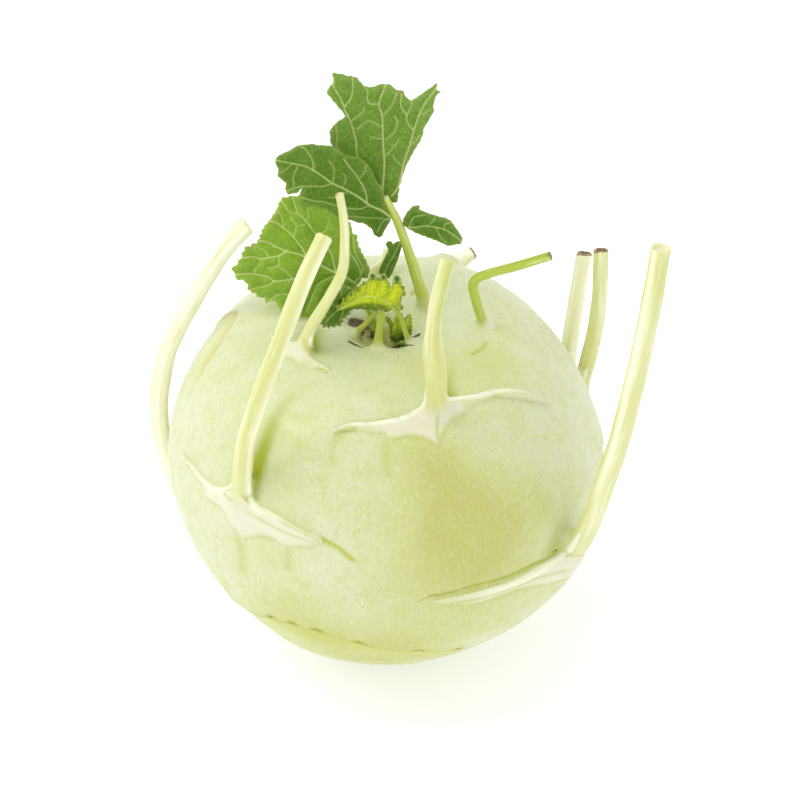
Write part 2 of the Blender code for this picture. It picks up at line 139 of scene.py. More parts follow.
# What a leaf base leaves on the bulb, drawn on a sheet that touches the bulb at the stalk's foot, as
# (mm to the right, mm up) seen from outside: the raised edges that run out from the stalk's left and
# right sides, the lower edge of the pale scar under them, how proud the scar stands at its top, and
# creases as (line, depth, width). pale is how far left and right the scar stays pale, and shade
# the line of the painted shade beside the stalk, a deep green in the hollow there, with its half
# width and strength. at is where the sheet touches.
LEAF_BASES = {
    "stalk_front": dict(
        at=(8.7, -31.4, 85.5), pale=(20, 8),
        shade=([(4, 2.7), (5, 6.3), (7.8, 9.9), (11.3, 12.6)], 2.8, 0.9),
        left=[(-3.4, 1.2), (-4.9, 0.5), (-7.7, 0.2), (-11.2, 0.4), (-15.4, 1), (-18.6, 2), (-23.6, 1.9)],
        right=[(4.4, 2), (5.8, 1.3), (8.3, 1.5), (12.1, 1.7), (16.1, 2), (20.3, 1.7), (24.6, 0.7),
               (29.4, -1), (35.2, -3.5)],
        lower=[(-18.1, 0.1), (-14.7, -1.5), (-12.4, -2.5), (-12, -3.9), (-9.6, -4.2), (-7.1, -4.3),
               (-4.3, -5.6), (-1.7, -7.7), (-0.7, -6.5), (1.4, -4.1), (3.6, -2.6), (5.7, -2.2),
               (10.5, -0.5), (16, 0.8)],
        proud=1.0,
        creases=[([(-18.1, 0.1), (-19.9, 0.9), (-22.5, 0.9), (-25, 0.2)], 0.16, 0.6),
                 ([(-21.5, 0.5), (-24.2, -0.9), (-25.8, -3.6), (-26.6, -7)], 0.1, 0.8),
                 ([(-12, -3.9), (-13.1, -5.7), (-13.8, -9), (-14, -13)], 0.1, 1.2),
                 ([(-0.2, -1), (-1.2, -4.8), (-1.6, -7.1)], 0.15, 0.4)]),
    "stalk_front_left": dict(
        at=(-33.7, -38.9, 65.1), pale=(16, 24),
        shade=([(1.7, 2.5), (1.2, 5.3), (1, 9.6), (1, 12.9), (0.9, 16.2), (0.4, 20.4), (-0.3, 24.3),
                (0.1, 28.3), (0.2, 34.7)], 2.4, 1.3),
        left=[(-4.6, 1.6), (-5.9, 0.9), (-8.4, 0.1), (-12.8, -0.1), (-17.3, 0.1), (-22.8, 0.2),
              (-27.5, -0.2)],
        right=[(0.8, 4.4), (1.6, 3), (2.9, 2.2), (4.7, 2), (7.9, 1.9), (11.9, 1.4), (16.9, 0.8), (21.4, 0.4)],
        lower=[(-20.5, -0.6), (-13.2, -2.5), (-11.9, -4), (-7.4, -3.3), (-3.9, -3), (-1.6, -5), (0.4, -6.2),
               (1.5, -7.9), (3.9, -6.7), (7, -4.4), (9.3, -3.9), (11.3, -4.3), (13.4, -4.8), (16.3, -3.5),
               (19.7, -2.4), (21, -1)],
        proud=1.3,
        creases=[([(21, 0.9), (24, 0.1), (26.6, -0.4), (30.6, -2.3), (34.1, -3.4)], 0.24, 0.75),
                 ([(2.6, 0.2), (6.1, 0), (10.1, -0.4), (14.5, -0.6), (18.8, -0.5), (21, -0.6)], 0.12, 0.35),
                 ([(-26.7, -1.4), (-20, -0.6), (-12.4, -0.9), (-8.8, -0.6)], 0.25, 0.5),
                 ([(0.9, -8.2), (1.5, -15.2), (0.5, -21.1)], 0.12, 2.4),
                 ([(13.4, -4.8), (14.2, -8), (15, -12)], 0.1, 1.8),
                 ([(-4.4, 3.6), (-4.2, 1.7), (-2.5, 1.1), (0.5, 1.6)], 0.2, 0.3)]),
    "stalk_right": dict(
        at=(37.2, -34.5, 46.1), pale=(34, 4.9),
        shade=([(-3.4, 4), (-2.2, 6.2), (-0.3, 9.2), (1.1, 12)], 4, 0.6),
        left=[(-0.6, 2), (-4.8, 1.9), (-9, 2.6), (-14.8, 2.5), (-19.8, 2.7), (-26.3, 3.2), (-33, 3.4),
              (-41, 3.5)],
        right=[(1.8, 0.9), (4.5, -1.6), (7.5, -4.2), (11.5, -6.4)],
        lower=[(-41.8, 3), (-36.2, 1.4), (-29.5, -0.6), (-24.2, -0.9), (-18.7, -0.5), (-14.1, -0.7),
               (-9.3, -2.2), (-6.4, -3.8), (-2.5, -5.8), (2.5, -7), (6, -8), (10, -9.2)],
        proud=1.3,
        creases=[([(1, 3.4), (-0.4, 2.6), (-2.4, 2.6), (-5.7, 3.3), (-10.2, 4), (-14.8, 3.9), (-19.8, 4.3),
                   (-26.3, 5.1), (-31.6, 5), (-39, 4.9), (-43, 5.1), (-47.3, 3.6), (-52.6, 2.8)], 0.5, 0.38),
                 ([(0.1, -2.5), (-7.6, 0.5), (-12.4, 1.2), (-21.6, 1.2), (-28.6, 1.5), (-36, 2.3)],
                  0.12, 0.5)]),
    "stalk_inner_left": dict(
        at=(-20.8, -12.8, 87.7), pale=(8, 5),
        shade=([(-0.1, 1), (-2.4, 2.8), (-4.6, 5.2), (-5.9, 8.6)], 2.6, 1.5),
        left=[(-2.4, 0.4), (-4, -1), (-6, -2.2), (-9, -3)],
        right=[(-0.2, 2.2), (1, 0.9), (3.5, 0.5), (5.2, 0.7), (6.8, 1.2), (8.6, 1.8)],
        lower=[(-7, -3.6), (-3, -4.2), (-0.3, -3.6), (1.1, -2.8), (2.6, -2.7), (3.9, -2.4), (5.1, -1),
               (6.2, -0.4), (7.3, 0.3)],
        proud=0.7, creases=[([(7, 0.2), (8.4, 1), (10, 1.4)], 0.2, 0.4)]),
    "stalk_bent_right": dict(
        at=(19.8, -2.3, 87.2), pale=(2, 2), shade=([(-1.5, -1.5), (2, -1.5)], 1.2, 0.7),
        left=[(-1.6, 0.6), (-3.2, -0.4), (-6, -0.2), (-8.7, 1.4), (-11.1, 4)],
        right=[(1.6, 0.6), (3, -0.4), (6, -1), (9, -2.6)],
        lower=[(-6, -1), (-2.5, -2.4), (0, -3.2), (3, -2.2), (6, -1.7)],
        proud=0.15, creases=[([(-6, -0.8), (-9, 0.6), (-12, 3.4)], 0.2, 0.5)]),
}
# The same on the sides that face away: wing length, droop and scar depth for each stalk.
PLAIN_BASES = {
    "stalk_left": (20, 1.5, 5), "stalk_back_right_outer": (15, 2, 4), "stalk_back_right_inner": (16, 2, 4.5),
    "stalk_back": (15, 1.5, 4), "stalk_back_stub": (8, 1, 2.5), "tall_leaf_stalk": (6, 0.6, 1.8),
}

# Healed edges of leaves that fell off long ago, drawn on the bulb from left to right: the step down
# below each, how brown its rim is, and where dark spots sit on it as shares of its length.
OLD_EDGES = [
    dict(line=[(-41, -24, 30), (-33, -37, 32.3), (-25.5, -44.4, 35.9), (-15.8, -48.6, 36.1),
               (-7.2, -49.6, 33.9), (3.5, -48.3, 30.8), (13.6, -43.5, 26.1), (22, -38, 20)],
         step=0.85, tan=0.1, spots=[0.3, 0.37, 0.44, 0.56, 0.73, 0.86]),
    dict(line=[(48, -6, 27), (44, 12, 25), (33, 29, 24), (20, 38, 27), (6, 42, 31)],
         step=0.8, tan=0.1, spots=[0.35, 0.7]),
    dict(line=[(12, 49, 47), (-2, 48, 50.5), (-16, 45, 51), (-29, 38, 47), (-37, 30, 40)],
         step=0.9, tan=0.2, spots=[0.2, 0.5, 0.8]),
    dict(line=[(-46, 20, 62), (-42, 18, 70), (-36.6, 9, 81.9), (-38.7, 1, 81.9), (-41.6, -4.3, 79.5),
               (-45, -7.2, 74.9), (-47.5, -9, 69)], step=0.4, tan=0.6, spots=[]),
]

# Where the skin is yellower: a point, how strongly, and how far it spreads.
YELLOWED = [
    ((14, -46, 70), 1.0, 11), ((7, -41, 80), 0.7, 8), ((17, -47, 61), 0.8, 10), ((28, -41, 62), 0.45, 10),
    ((-22, -46, 36), 0.6, 12), ((-3, -48, 28), 0.9, 14), ((-14, -49, 22), 0.7, 14), ((-21, -32, 84), 0.35, 9),
    ((8, -19, 88), 0.6, 8), ((22, -14, 87), 0.6, 8), ((30, 32, 60), 0.7, 16), ((-30, 36, 55), 0.6, 18),
    ((44, 12, 36), 0.6, 14), ((0, 46, 40), 0.7, 16), ((13, -50, 52), 0.5, 20),
]

# Brown corky marks in the crown and above a leaf base: the line of each, its half width and how far
# it sinks.
CORKY = [
    ([(-9.5, -0.6, 86.8), (-7.5, -0.8, 86.6), (-6, -1.4, 86.2)], 1.4, 0.5),
    ([(-7.2, -3, 86.2), (-5.6, -2.8, 86), (-4.4, -3.4, 85.9)], 1.5, 0.5),
    ([(-10.2, -8.2, 86.9), (-8.8, -9.2, 86.8), (-7.4, -9.7, 86.8)], 0.4, 0.25),
    ([(-2.4, -9.1, 86.4), (-1.2, -9.3, 86.5), (0.4, -9.3, 86.7)], 0.8, 0.4),
    ([(0.4, -9.4, 86.8), (2.4, -9.8, 86.9), (4.6, -9.4, 87)], 0.3, 0.15),
    ([(2.8, -6.4, 87), (4.2, -6.6, 87), (5.4, -5.6, 87)], 0.35, 0.2),
    ([(-0.4, -6.4, 86), (1, -5.4, 86.1), (1.6, -3.6, 86.3)], 0.9, 0.4),
    ([(-8.2, 5.4, 86.6), (-5.4, 7, 86.7), (-2.6, 6.6, 86.6)], 0.6, 0.3),
    ([(3, 0.4, 87), (5, -0.2, 87.2), (7.6, 1.6, 87.3)], 0.18, 0.15),
    ([(39, -33.1, 50.1), (37.8, -34.5, 49.5), (36.4, -36.1, 49.8), (34.7, -37.7, 50.2)], 0.18, 0.1),
]


# ---------------------------------------------------------------- curves and fields


def unit(vector):
    return vector / np.linalg.norm(vector)


def unit_rows(vectors):
    return vectors / np.linalg.norm(vectors, axis=1)[:, None]


def smoothstep(low, high, value):
    """0 at low, 1 at high, and smooth between them."""
    share = np.clip((value - low) / (high - low), 0, 1)
    return share * share * (3 - 2 * share)


def bell(distance, width):
    """1 at no distance, and next to nothing at twice the width."""
    return np.exp(-((distance / width) ** 2))


def lengths_along(curve):
    """How far along a line of points each of them lies."""
    return np.concatenate([[0], np.cumsum(np.linalg.norm(np.diff(curve, axis=0), axis=1))])


def smooth_route(points, count):
    """Points spread evenly along a smooth curve through the given ones."""
    points = np.array(points, float)
    ends = np.vstack([2 * points[0] - points[1], points, 2 * points[-1] - points[-2]])
    steps = np.linspace(0, 1, 24, endpoint=False)[:, None]
    curve = []
    for before, start, end, after in zip(ends, ends[1:], ends[2:], ends[3:]):
        slope = (end - before) * steps
        bow = (2 * before - 5 * start + 4 * end - after) * steps**2
        twist = (3 * start - before - 3 * end + after) * steps**3
        curve.append((2 * start + slope + bow + twist) / 2)
    curve = np.vstack(curve + [points[-1:]])
    travelled = lengths_along(curve)
    even = np.linspace(0, travelled[-1], count)
    return np.column_stack([np.interp(even, travelled, column) for column in curve.T])


def line_distance(points, line):
    """(distance from a polyline, length along it at the nearest place), in 2D or 3D."""
    start = line[:-1]
    way = line[1:] - start
    run = np.linalg.norm(way, axis=1)
    apart = points[:, None, :] - start[None]
    share = np.clip(np.einsum("ijk,jk->ij", apart, way) / run**2, 0, 1)
    gap = np.linalg.norm(apart - share[..., None] * way, axis=2)
    nearest = np.argmin(gap, axis=1)
    rows = np.arange(len(points))
    return gap[rows, nearest], lengths_along(line)[nearest] + share[rows, nearest] * run[nearest]


def inside(points, ring):
    """Whether 2D points lie inside a closed ring."""
    x, y = points.T
    crossings = np.zeros(len(points), int)
    for (x0, y0), (x1, y1) in zip(ring, np.roll(ring, -1, axis=0)):
        if y0 != y1:
            crossings += ((y0 > y) != (y1 > y)) & (x < x0 + (y - y0) * (x1 - x0) / (y1 - y0))
    return crossings % 2 == 1


def rows_near(points, line, room, among=True):
    """Rows of the points in the box round a line with some room on each side."""
    in_box = np.all((points > line.min(0) - room) & (points < line.max(0) + room), axis=1)
    return np.flatnonzero(among & in_box)


def raise_at(values, rows, new):
    """Takes the values in these rows up to the new ones where those are higher."""
    values[rows] = np.maximum(values[rows], new)


def waves(points, length, seed):
    """A smooth field of about -1 to 1 whose bumps are about length mm across."""
    random = np.random.default_rng(seed)
    total = np.zeros(len(points))
    for _ in range(7):
        way = unit(random.normal(size=3)) * random.uniform(0.7, 1.5) * math.pi / length
        total += np.sin(points @ way + random.uniform(0, 2 * math.pi))
    return total / 3.2


def inward_of(point):
    """The level direction from a point to the bulb's axis."""
    return unit(np.array([LEAN_X * point[2] - point[0], LEAN_Y * point[2] - point[1], 0.0]))


def carried(tangents, start):
    """A direction across each tangent, carried along without twist."""
    ways = []
    across = start
    for tangent in tangents:
        across = unit(across - tangent * across.dot(tangent))
        ways.append(across)
    return np.array(ways)


def smooth_union(first, second, blend):
    """Two distances joined with a soft fillet, and how far the second has taken over."""
    share = np.clip(0.5 + 0.5 * (first - second) / blend, 0, 1)
    return first * (1 - share) + second * share - blend * share * (1 - share), share


# ---------------------------------------------------------------- the bulb as a field

outline = smooth_route(BULB_OUTLINE, 600)
flat_cut = np.column_stack([np.linspace(0, ROOT_CUT_RADIUS, 40, endpoint=False), np.zeros(40)])
outline = np.vstack([flat_cut, outline])
outline_polar = np.arctan2(outline[:, 0], outline[:, 1] - CORE_HEIGHT)[::-1]
outline_reach = np.hypot(outline[:, 0], outline[:, 1] - CORE_HEIGHT)[::-1]
SLOPE = 0.97  # turns a distance from the core into one square to the skin, on average


def turned_body(points):
    """Roughly how far points are outside the bulb without its stalks and marks."""
    x = points[:, 0] - LEAN_X * points[:, 2]
    y = points[:, 1] - LEAN_Y * points[:, 2]
    z = points[:, 2] - CORE_HEIGHT
    radius = np.hypot(x, y)
    polar = np.arctan2(radius, z)
    reach = np.interp(polar, outline_polar, outline_reach)
    turn = np.arctan2(x, -y)
    for centre, level, proud, half_width, half_height in PADS:
        across = (np.degrees(turn) - centre + 180) % 360 - 180
        reach = reach + proud * bell(across, half_width) * bell(points[:, 2] - level, half_height)
    waist = np.sin(polar) ** 2
    reach = reach + waist * (0.3 * np.sin(2 * turn + 2.0) + 0.2 * np.sin(3 * turn + 0.6))
    return (np.hypot(radius, z) - reach) * SLOPE


def on_bulb(points):
    """Points moved onto the turned body, straight away from its core."""
    points = np.array(points, float)
    for _ in range(4):
        points = points - turned_body(points)[:, None] * unit_rows(points - CORE)
    return points


EDGE_WIDTH = 0.5  # of the raised edge on a leaf base
LIP_DEPTH, LIP_WIDTH = 0.1, 0.45  # of the furrow along a scar's lower edge


class Sheet:
    """A flat sheet that touches the bulb at a point: u runs right and v up, seen from outside."""

    def __init__(self, base):
        self.base = np.array(base, float)
        self.out = unit(self.base - CORE)
        self.right = unit(np.cross((0, 0, 1), self.out))
        self.up = np.cross(self.out, self.right)

    def flatten(self, points):
        """(u, v) of points seen from the core, and whether they face the sheet."""
        away = points - CORE
        depth = away @ self.out
        facing = depth > 0.5 * np.linalg.norm(away, axis=1)
        scale = (self.base - CORE) @ self.out / np.maximum(depth, 1)
        spread = away * scale[:, None]
        return np.column_stack([spread @ self.right, spread @ self.up]), facing

    def place(self, marks):
        """Where (u, v) marks lie on the bulb."""
        marks = np.array(marks, float)
        return on_bulb(self.base + marks[:, :1] * self.right + marks[:, 1:] * self.up)


def plain_base(length, droop, depth):
    """A leaf base's marks with the usual shape: two drooping wings over a scar like a low arch."""
    spread = np.linspace(0.18, 1, 6)
    right = [(length * s, 0.6 - droop * s * s) for s in spread]
    left = [(-0.9 * length * s, 0.8 - droop * s * s) for s in spread]
    arch = np.linspace(-0.75, 0.8, 9)
    lower = [(length * s, 0.3 - depth * (1 - (s / 0.85) ** 2) + 0.3 * math.sin(11 * s)) for s in arch]
    return dict(
        left=left, right=right, lower=lower, pale=(0.6 * length, 0.6 * length), proud=0.16 * depth,
        creases=[([right[-1], (1.25 * length, -1.9 * droop)], 0.3, 0.5)],
        shade=([(0, 1), (0, 0.3 * length)], 1.5, 0.8),
    )


class LeafBase:
    """The marks round a stalk's foot."""

    def __init__(self, at, left, right, lower, pale, shade, proud, creases):
        self.sheet = Sheet(at)
        self.left, self.right = smooth_route(left, 26), smooth_route(right, 26)
        self.upper = np.vstack([self.left[::-1], self.right])
        self.lower = smooth_route(lower, 40)
        self.ring = np.vstack([self.upper, self.lower[::-1]])
        self.pale, self.proud = pale, proud
        self.shade, self.shade_width, self.shade_strength = smooth_route(shade[0], 16), *shade[1:]
        self.creases = [(smooth_route(line, 16), depth, width) for line, depth, width in creases]
        self.lines = np.vstack([self.ring] + [crease[0] for crease in self.creases])

    def flatten(self, points):
        """Rows of the points near the marks, and (u, v) of those."""
        uv, facing = self.sheet.flatten(points)
        rows = rows_near(uv, self.lines, 3, facing)
        return rows, uv[rows]

    def hollow(self, points):
        """Rows of the points in the hollow beside the stalk, and how deep they lie in its painted shade."""
        uv, facing = self.sheet.flatten(points)
        rows = rows_near(uv, self.shade, 3 * self.shade_width, facing)
        gap, along = line_distance(uv[rows], self.shade)
        fade = 1 - 0.92 * along / lengths_along(self.shade)[-1]
        wing_height = np.interp(uv[rows, 0], self.upper[:, 0], self.upper[:, 1])
        above = smoothstep(-0.4, 1.2, uv[rows, 1] - wing_height)
        return rows, self.shade_strength * bell(gap, self.shade_width) * fade * above

    def marks(self, points):
        """Rows of the points near it, and for those the relief, pale scar and crease (partly painted shade).
        """
        rows, uv = self.flatten(points)
        to_upper = line_distance(uv, self.upper)[0]
        to_lower = line_distance(uv, self.lower)[0]
        scar = inside(uv, self.ring)
        share = to_lower / (to_lower + to_upper + 1e-6)
        relief = self.proud * np.where(scar, share**0.8, bell(to_upper, EDGE_WIDTH))
        relief = relief - LIP_DEPTH * bell(to_lower, LIP_WIDTH)
        if self.pale[1] < SHORT_WING:
            relief = relief * smoothstep(1.2, 0.2, uv[:, 0] / self.pale[1])
        far = np.maximum(-uv[:, 0] / self.pale[0], uv[:, 0] / self.pale[1])
        fade = smoothstep(1.1, 0.55, far)
        # A dark green line just above the raised edge: painted shadow.
        over = ~scar & (to_upper < to_lower)
        above_wing = np.where(over, bell(to_upper - 0.4, 0.4), 0) * (0.12 + 0.36 * fade)
        crease = np.maximum(0.22 * bell(to_lower, 0.35) * fade, above_wing)
        for line, depth, width in self.creases:
            gap, along = line_distance(uv, line)
            place = along / lengths_along(line)[-1]
            ends = smoothstep(0, 0.2, place + 0.08) * smoothstep(1, 0.75, place - 0.02)
            groove = bell(gap, width) * ends
            relief = relief - 0.7 * depth * groove
            crease = np.maximum(crease, groove * min(1, 4 * depth))
        edge = np.where(scar, -1, 1) * np.minimum(to_upper, to_lower)
        depth = np.where(scar, to_lower, -to_lower)
        return rows, relief, smoothstep(0.3, -0.3, edge) * smoothstep(-0.3, 1.8, depth) * fade, crease


SPOT_LENGTH, SPOT_HEIGHT = 1.7, 0.95  # of a dark spot on an old edge


class OldEdge:
    """A healed leaf edge: the skin above it overhangs the skin below by a small step."""

    def __init__(self, line, step, tan, spots):
        self.line = on_bulb(smooth_route(line, 36))
        self.step, self.tan = step, tan
        self.length = lengths_along(self.line)[-1]
        self.spots = [share * self.length for share in spots]

    def near(self, points):
        return rows_near(points, self.line, room=9)

    def marks(self, points):
        """Rows of the points near it, and for those the relief, crease, spot, band below and tan rim."""
        rows = self.near(points)
        skin = on_bulb(points[rows])
        gap, along = line_distance(skin, self.line)
        place = along / self.length
        last = len(self.line) - 1
        nearest = np.clip((place * last).astype(int), 0, last)
        upward = np.cross(skin - CORE, np.gradient(self.line, axis=0)[nearest])
        below = np.einsum("ij,ij->i", upward, skin - self.line[nearest]) < 0
        height = np.where(below, -gap, gap)
        fade = smoothstep(0, 0.15, place) * smoothstep(1, 0.8, place)
        drop = np.where(below, -0.55 * self.step * np.exp(-gap / 7), 0.45 * self.step * np.exp(-gap / 3.5))
        band = np.where(below, np.exp(-gap / 5), 0) * fade
        crease = 0.4 * bell(height - 0.3, 0.55) * fade
        spot = np.zeros(len(rows))
        for middle in self.spots:
            spot = np.maximum(spot, bell(along - middle, SPOT_LENGTH) * bell(height - 0.6, SPOT_HEIGHT))
        rim = self.tan * bell(gap - 0.3, 0.55) * fade
        return rows, fade * drop - 0.22 * spot, crease, spot, band, rim


BASES = {name: LeafBase(**marks) for name, marks in LEAF_BASES.items()}
for base_name, base_sizes in PLAIN_BASES.items():
    BASES[base_name] = LeafBase(STALKS[base_name]["route"][0], **plain_base(*base_sizes))
EDGES = [OldEdge(**edge) for edge in OLD_EDGES]
CORK_LINES = [(on_bulb(smooth_route(line, 20)), width, sink) for line, width, sink in CORKY]


def cork_marks(points, line, width):
    """Rows of the points near a corky line, and how deep in it they are."""
    rows = rows_near(points, line, 3)
    return rows, bell(line_distance(points[rows], line)[0], width)


CROWN_DEPTH, CROWN_RADIUS = 1.8, 5.5  # of the pit in which the young leaves stand


def skin_relief(points):
    """How far the skin stands out from the turned body, by direction from its core."""
    relief = 0.28 * waves(points, 26, 1) + 0.1 * waves(points, 9, 2) + 0.03 * waves(points, 3.4, 3)
    for mark in [*BASES.values(), *EDGES]:
        rows, out, *_ = mark.marks(points)
        relief[rows] += out
    for line, width, sink in CORK_LINES:
        rows, mark = cork_marks(points, line, width)
        relief[rows] -= sink * mark * (1 + 0.5 * waves(points[rows], 0.9, 4))
    crown = np.linalg.norm(points - CROWN, axis=1)
    pit = CROWN_DEPTH * np.exp(-((crown / CROWN_RADIUS) ** 3))
    return relief - pit * (1 + 0.25 * waves(points, 2.5, 5))


class Limb:
    """A long body that joins the bulb: a stalk's foot, or a raised edge."""

    def __init__(self, route, reach_out, blend, spacing=0.7):
        """reach_out gives the radius from the length along the route and the angle round it."""
        length = lengths_along(smooth_route(route, 200))[-1]
        self.centres = smooth_route(route, max(5, int(length / spacing) + 1))
        self.along = lengths_along(self.centres)
        self.tangents = unit_rows(np.gradient(self.centres, axis=0))
        self.across = carried(self.tangents, inward_of(self.centres[0]))
        self.reach_out = reach_out
        self.blend = blend
        sideways = np.full(len(self.along), math.pi / 2)
        self.room = reach_out(self.along, sideways).max() + 2 * blend + 1.5

    def near(self, points):
        return rows_near(points, self.centres, self.room)

    def measure(self, points):
        """(distance outside it, length along it, angle round it) of each point."""
        apart = points[:, None, :] - self.centres[None, :, :]
        nearest = np.argmin(np.einsum("ijk,ijk->ij", apart, apart), axis=1)
        offset = apart[np.arange(len(points)), nearest]
        tangent = self.tangents[nearest]
        step = np.einsum("ij,ij->i", offset, tangent)
        last = len(self.centres) - 1
        past_end = ((nearest == 0) & (step < 0)) | ((nearest == last) & (step > 0))
        sideways = offset - step[:, None] * tangent
        along = self.along[nearest] + np.where(past_end, 0, step)
        span = np.linalg.norm(np.where(past_end[:, None], offset, sideways), axis=1)
        across = self.across[nearest]
        other = np.cross(tangent, across)
        angle = np.arctan2(np.einsum("ij,ij->i", sideways, other), np.einsum("ij,ij->i", sideways, across))
        return span - self.reach_out(along, angle), along, angle


# ---------------------------------------------------------------- stalks


def stalk_reach(stalk, length, from_surface, angle):
    """A stalk's radius: tapered, wider sideways at the foot, ribbed, and hollowed on its inner side."""
    foot, tip = stalk["radii"]
    outside = np.maximum(from_surface, 0)
    taper = foot + (tip - foot) * (np.minimum(outside, length) / length) ** 0.7
    flare = stalk["flare"] * np.exp(-outside / (1.2 * foot)) * (0.4 + 0.9 * np.sin(angle) ** 2)
    ribs = 0.02 * np.cos(9 * angle + 0.6) + 0.012 * np.cos(14 * angle + 2 + 0.03 * outside)
    groove = 0.09 * bell(angle, 0.45)
    flat = 0.03 * np.cos(2 * angle)
    swell = 0.02 * np.sin(outside / 4.1 + foot * 5) + 0.015 * np.sin(outside / 1.9 + 2)
    edges = stalk.get("flange", 0) * np.abs(np.sin(angle)) ** 6 * smoothstep(0.62, 0.45, outside / length)
    return (taper + flare) * (1 + ribs - groove - flat + swell) + edges


def full_route(stalk):
    """The route with its stretch inside the bulb added, and its length outside."""
    route = [np.array(point, float) for point in stalk["route"]]
    foot_way = unit(route[1] - route[0])
    outside = lengths_along(smooth_route(route, 200))[-1]
    return [route[0] - FOOT_DEPTH * foot_way] + route, outside


def collar_length(stalk):
    """How far up a stalk the bulb's own skin reaches."""
    return min(4 + 5 * stalk["radii"][0], 0.5 * full_route(stalk)[1])


def foot_limb(stalk):
    """The foot of a stalk, which the bulb's skin covers and which ends inside the stalk's piece."""
    route, length = full_route(stalk)
    collar = collar_length(stalk)
    curve = smooth_route(route, 400)
    kept = curve[lengths_along(curve) <= FOOT_DEPTH + collar]

    def reach_out(along, angle):
        from_surface = along - FOOT_DEPTH
        shrink = 0.12 * stalk["radii"][0] * smoothstep(0.45 * collar, collar, from_surface)
        return stalk_reach(stalk, length, from_surface, angle) - shrink

    return Limb(kept[::8], reach_out, blend=1.0 + 0.8 * stalk["radii"][0])


FEET = {name: foot_limb(stalk) for name, stalk in STALKS.items()}


RIM_ANGLE = 1.45  # how far round from its inner side an edge runs down a stalk


def stalk_edge(foot, side, heights, thick):
    """Points down one side of a stalk, just under its skin, at these heights above the bulb."""
    angle = side * RIM_ANGLE
    edge = []
    for height in heights:
        row = np.argmin(np.abs(foot.along - FOOT_DEPTH - height))
        other = np.cross(foot.tangents[row], foot.across[row])
        way = math.cos(angle) * foot.across[row] + math.sin(angle) * other
        reach = foot.reach_out(foot.along[row : row + 1], np.array([angle]))[0]
        edge.append(foot.centres[row] + (reach - 0.15 * thick) * way)
    return edge


def rim_limbs():
    """The thin raised edges: each runs down a side of its stalk and out along the leaf base."""
    rims = []
    for name, base in BASES.items():
        heights = np.array([0.9, 0.6, 0.35]) * collar_length(STALKS[name])
        thick = 0.2 + 0.17 * STALKS[name]["radii"][0]
        for line, side, pale in ((base.left, 1, base.pale[0]), (base.right, -1, base.pale[1])):
            if pale < SHORT_WING:
                continue
            skin = base.sheet.place(line)
            skin = skin + (base.proud * 0.55 + 0.1) * unit_rows(skin - CORE)
            route = np.vstack([stalk_edge(FEET[name], side, heights, thick), skin[::5], skin[-1:]])
            total = lengths_along(smooth_route(route, 200))[-1]

            def reach_out(along, angle, total=total, thick=thick, up=heights[0]):
                share = along / total
                swell = smoothstep(0, up / total, share) * smoothstep(1.0, 0.35, share)
                return thick * (0.15 + 0.85 * swell)

            rims.append(Limb(route, reach_out, blend=0.45, spacing=0.5))
    return rims


RIMS = rim_limbs()


def bulb_field(points):
    """How far points are outside the bulb, its leaf bases and the feet of its stalks."""
    value = turned_body(points)
    close = np.flatnonzero(np.abs(value) < 5)
    value[close] -= skin_relief(points[close])
    for limb in [*FEET.values(), *RIMS]:
        rows = limb.near(points)
        if len(rows):
            away = limb.measure(points[rows])[0]
            value[rows] = smooth_union(value[rows], away, limb.blend)[0]
    return value


# ---------------------------------------------------------------- making pieces

VOXEL = 1.12  # the size of the bulb's faces before they are split near its marks
BULB_ROOM = np.array([[-60.0, -58.0, -3.0], [56.0, 54.0, 108.0]])  # lowest and highest corner
FAR = 3.0  # beyond this the distance to the bulb isn't needed


def new_piece(name, vertices, faces, material, node, slot, marks):
    """A visible piece that stands for a CAD node. marks are numbers or vectors for each vertex."""
    mesh = bpy.data.meshes.new(name)
    mesh.from_pydata((np.asarray(vertices) * MM).tolist(), [], faces)
    for title, values in marks.items():
        values = np.asarray(values, np.float32)
        kind, field = ("FLOAT", "value") if values.ndim == 1 else ("FLOAT_VECTOR", "vector")
        mesh.attributes.new(title, kind, "POINT").data.foreach_set(field, values.ravel())
    mesh.shade_smooth()
    mesh.materials.append(material)
    piece = add_object(name, mesh)
    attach(piece, "root")
    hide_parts(node)


def add_object(name, data):
    """An object with this mesh, camera or light, in the scene."""
    thing = bpy.data.objects.new(name, data)
    bpy.context.scene.collection.objects.link(thing)
    return thing


def shape_of(shaped):
    """A bmesh's vertices and faces."""
    points = np.array([vertex.co for vertex in shaped.verts])
    return points, [[vertex.index for vertex in face.verts] for face in shaped.faces]


def moved_on(faces, count):
    """Faces whose vertices come after this many others."""
    return [[vertex + count for vertex in face] for face in faces]


def settle(points, rounds=2, aside=0.04, longest_move=0.35):
    """Moves points onto the bulb's surface, down the slope of its field."""
    for _ in range(rounds):
        value = bulb_field(points)
        slope = np.column_stack([(bulb_field(points + aside * way) - value) / aside for way in np.eye(3)])
        steep = np.maximum(np.einsum("ij,ij->i", slope, slope), 0.25)
        move = -(value / steep)[:, None] * slope
        size = np.linalg.norm(move, axis=1)
        points = points + move * (np.minimum(size, longest_move) / np.maximum(size, 1e-9))[:, None]
    return points


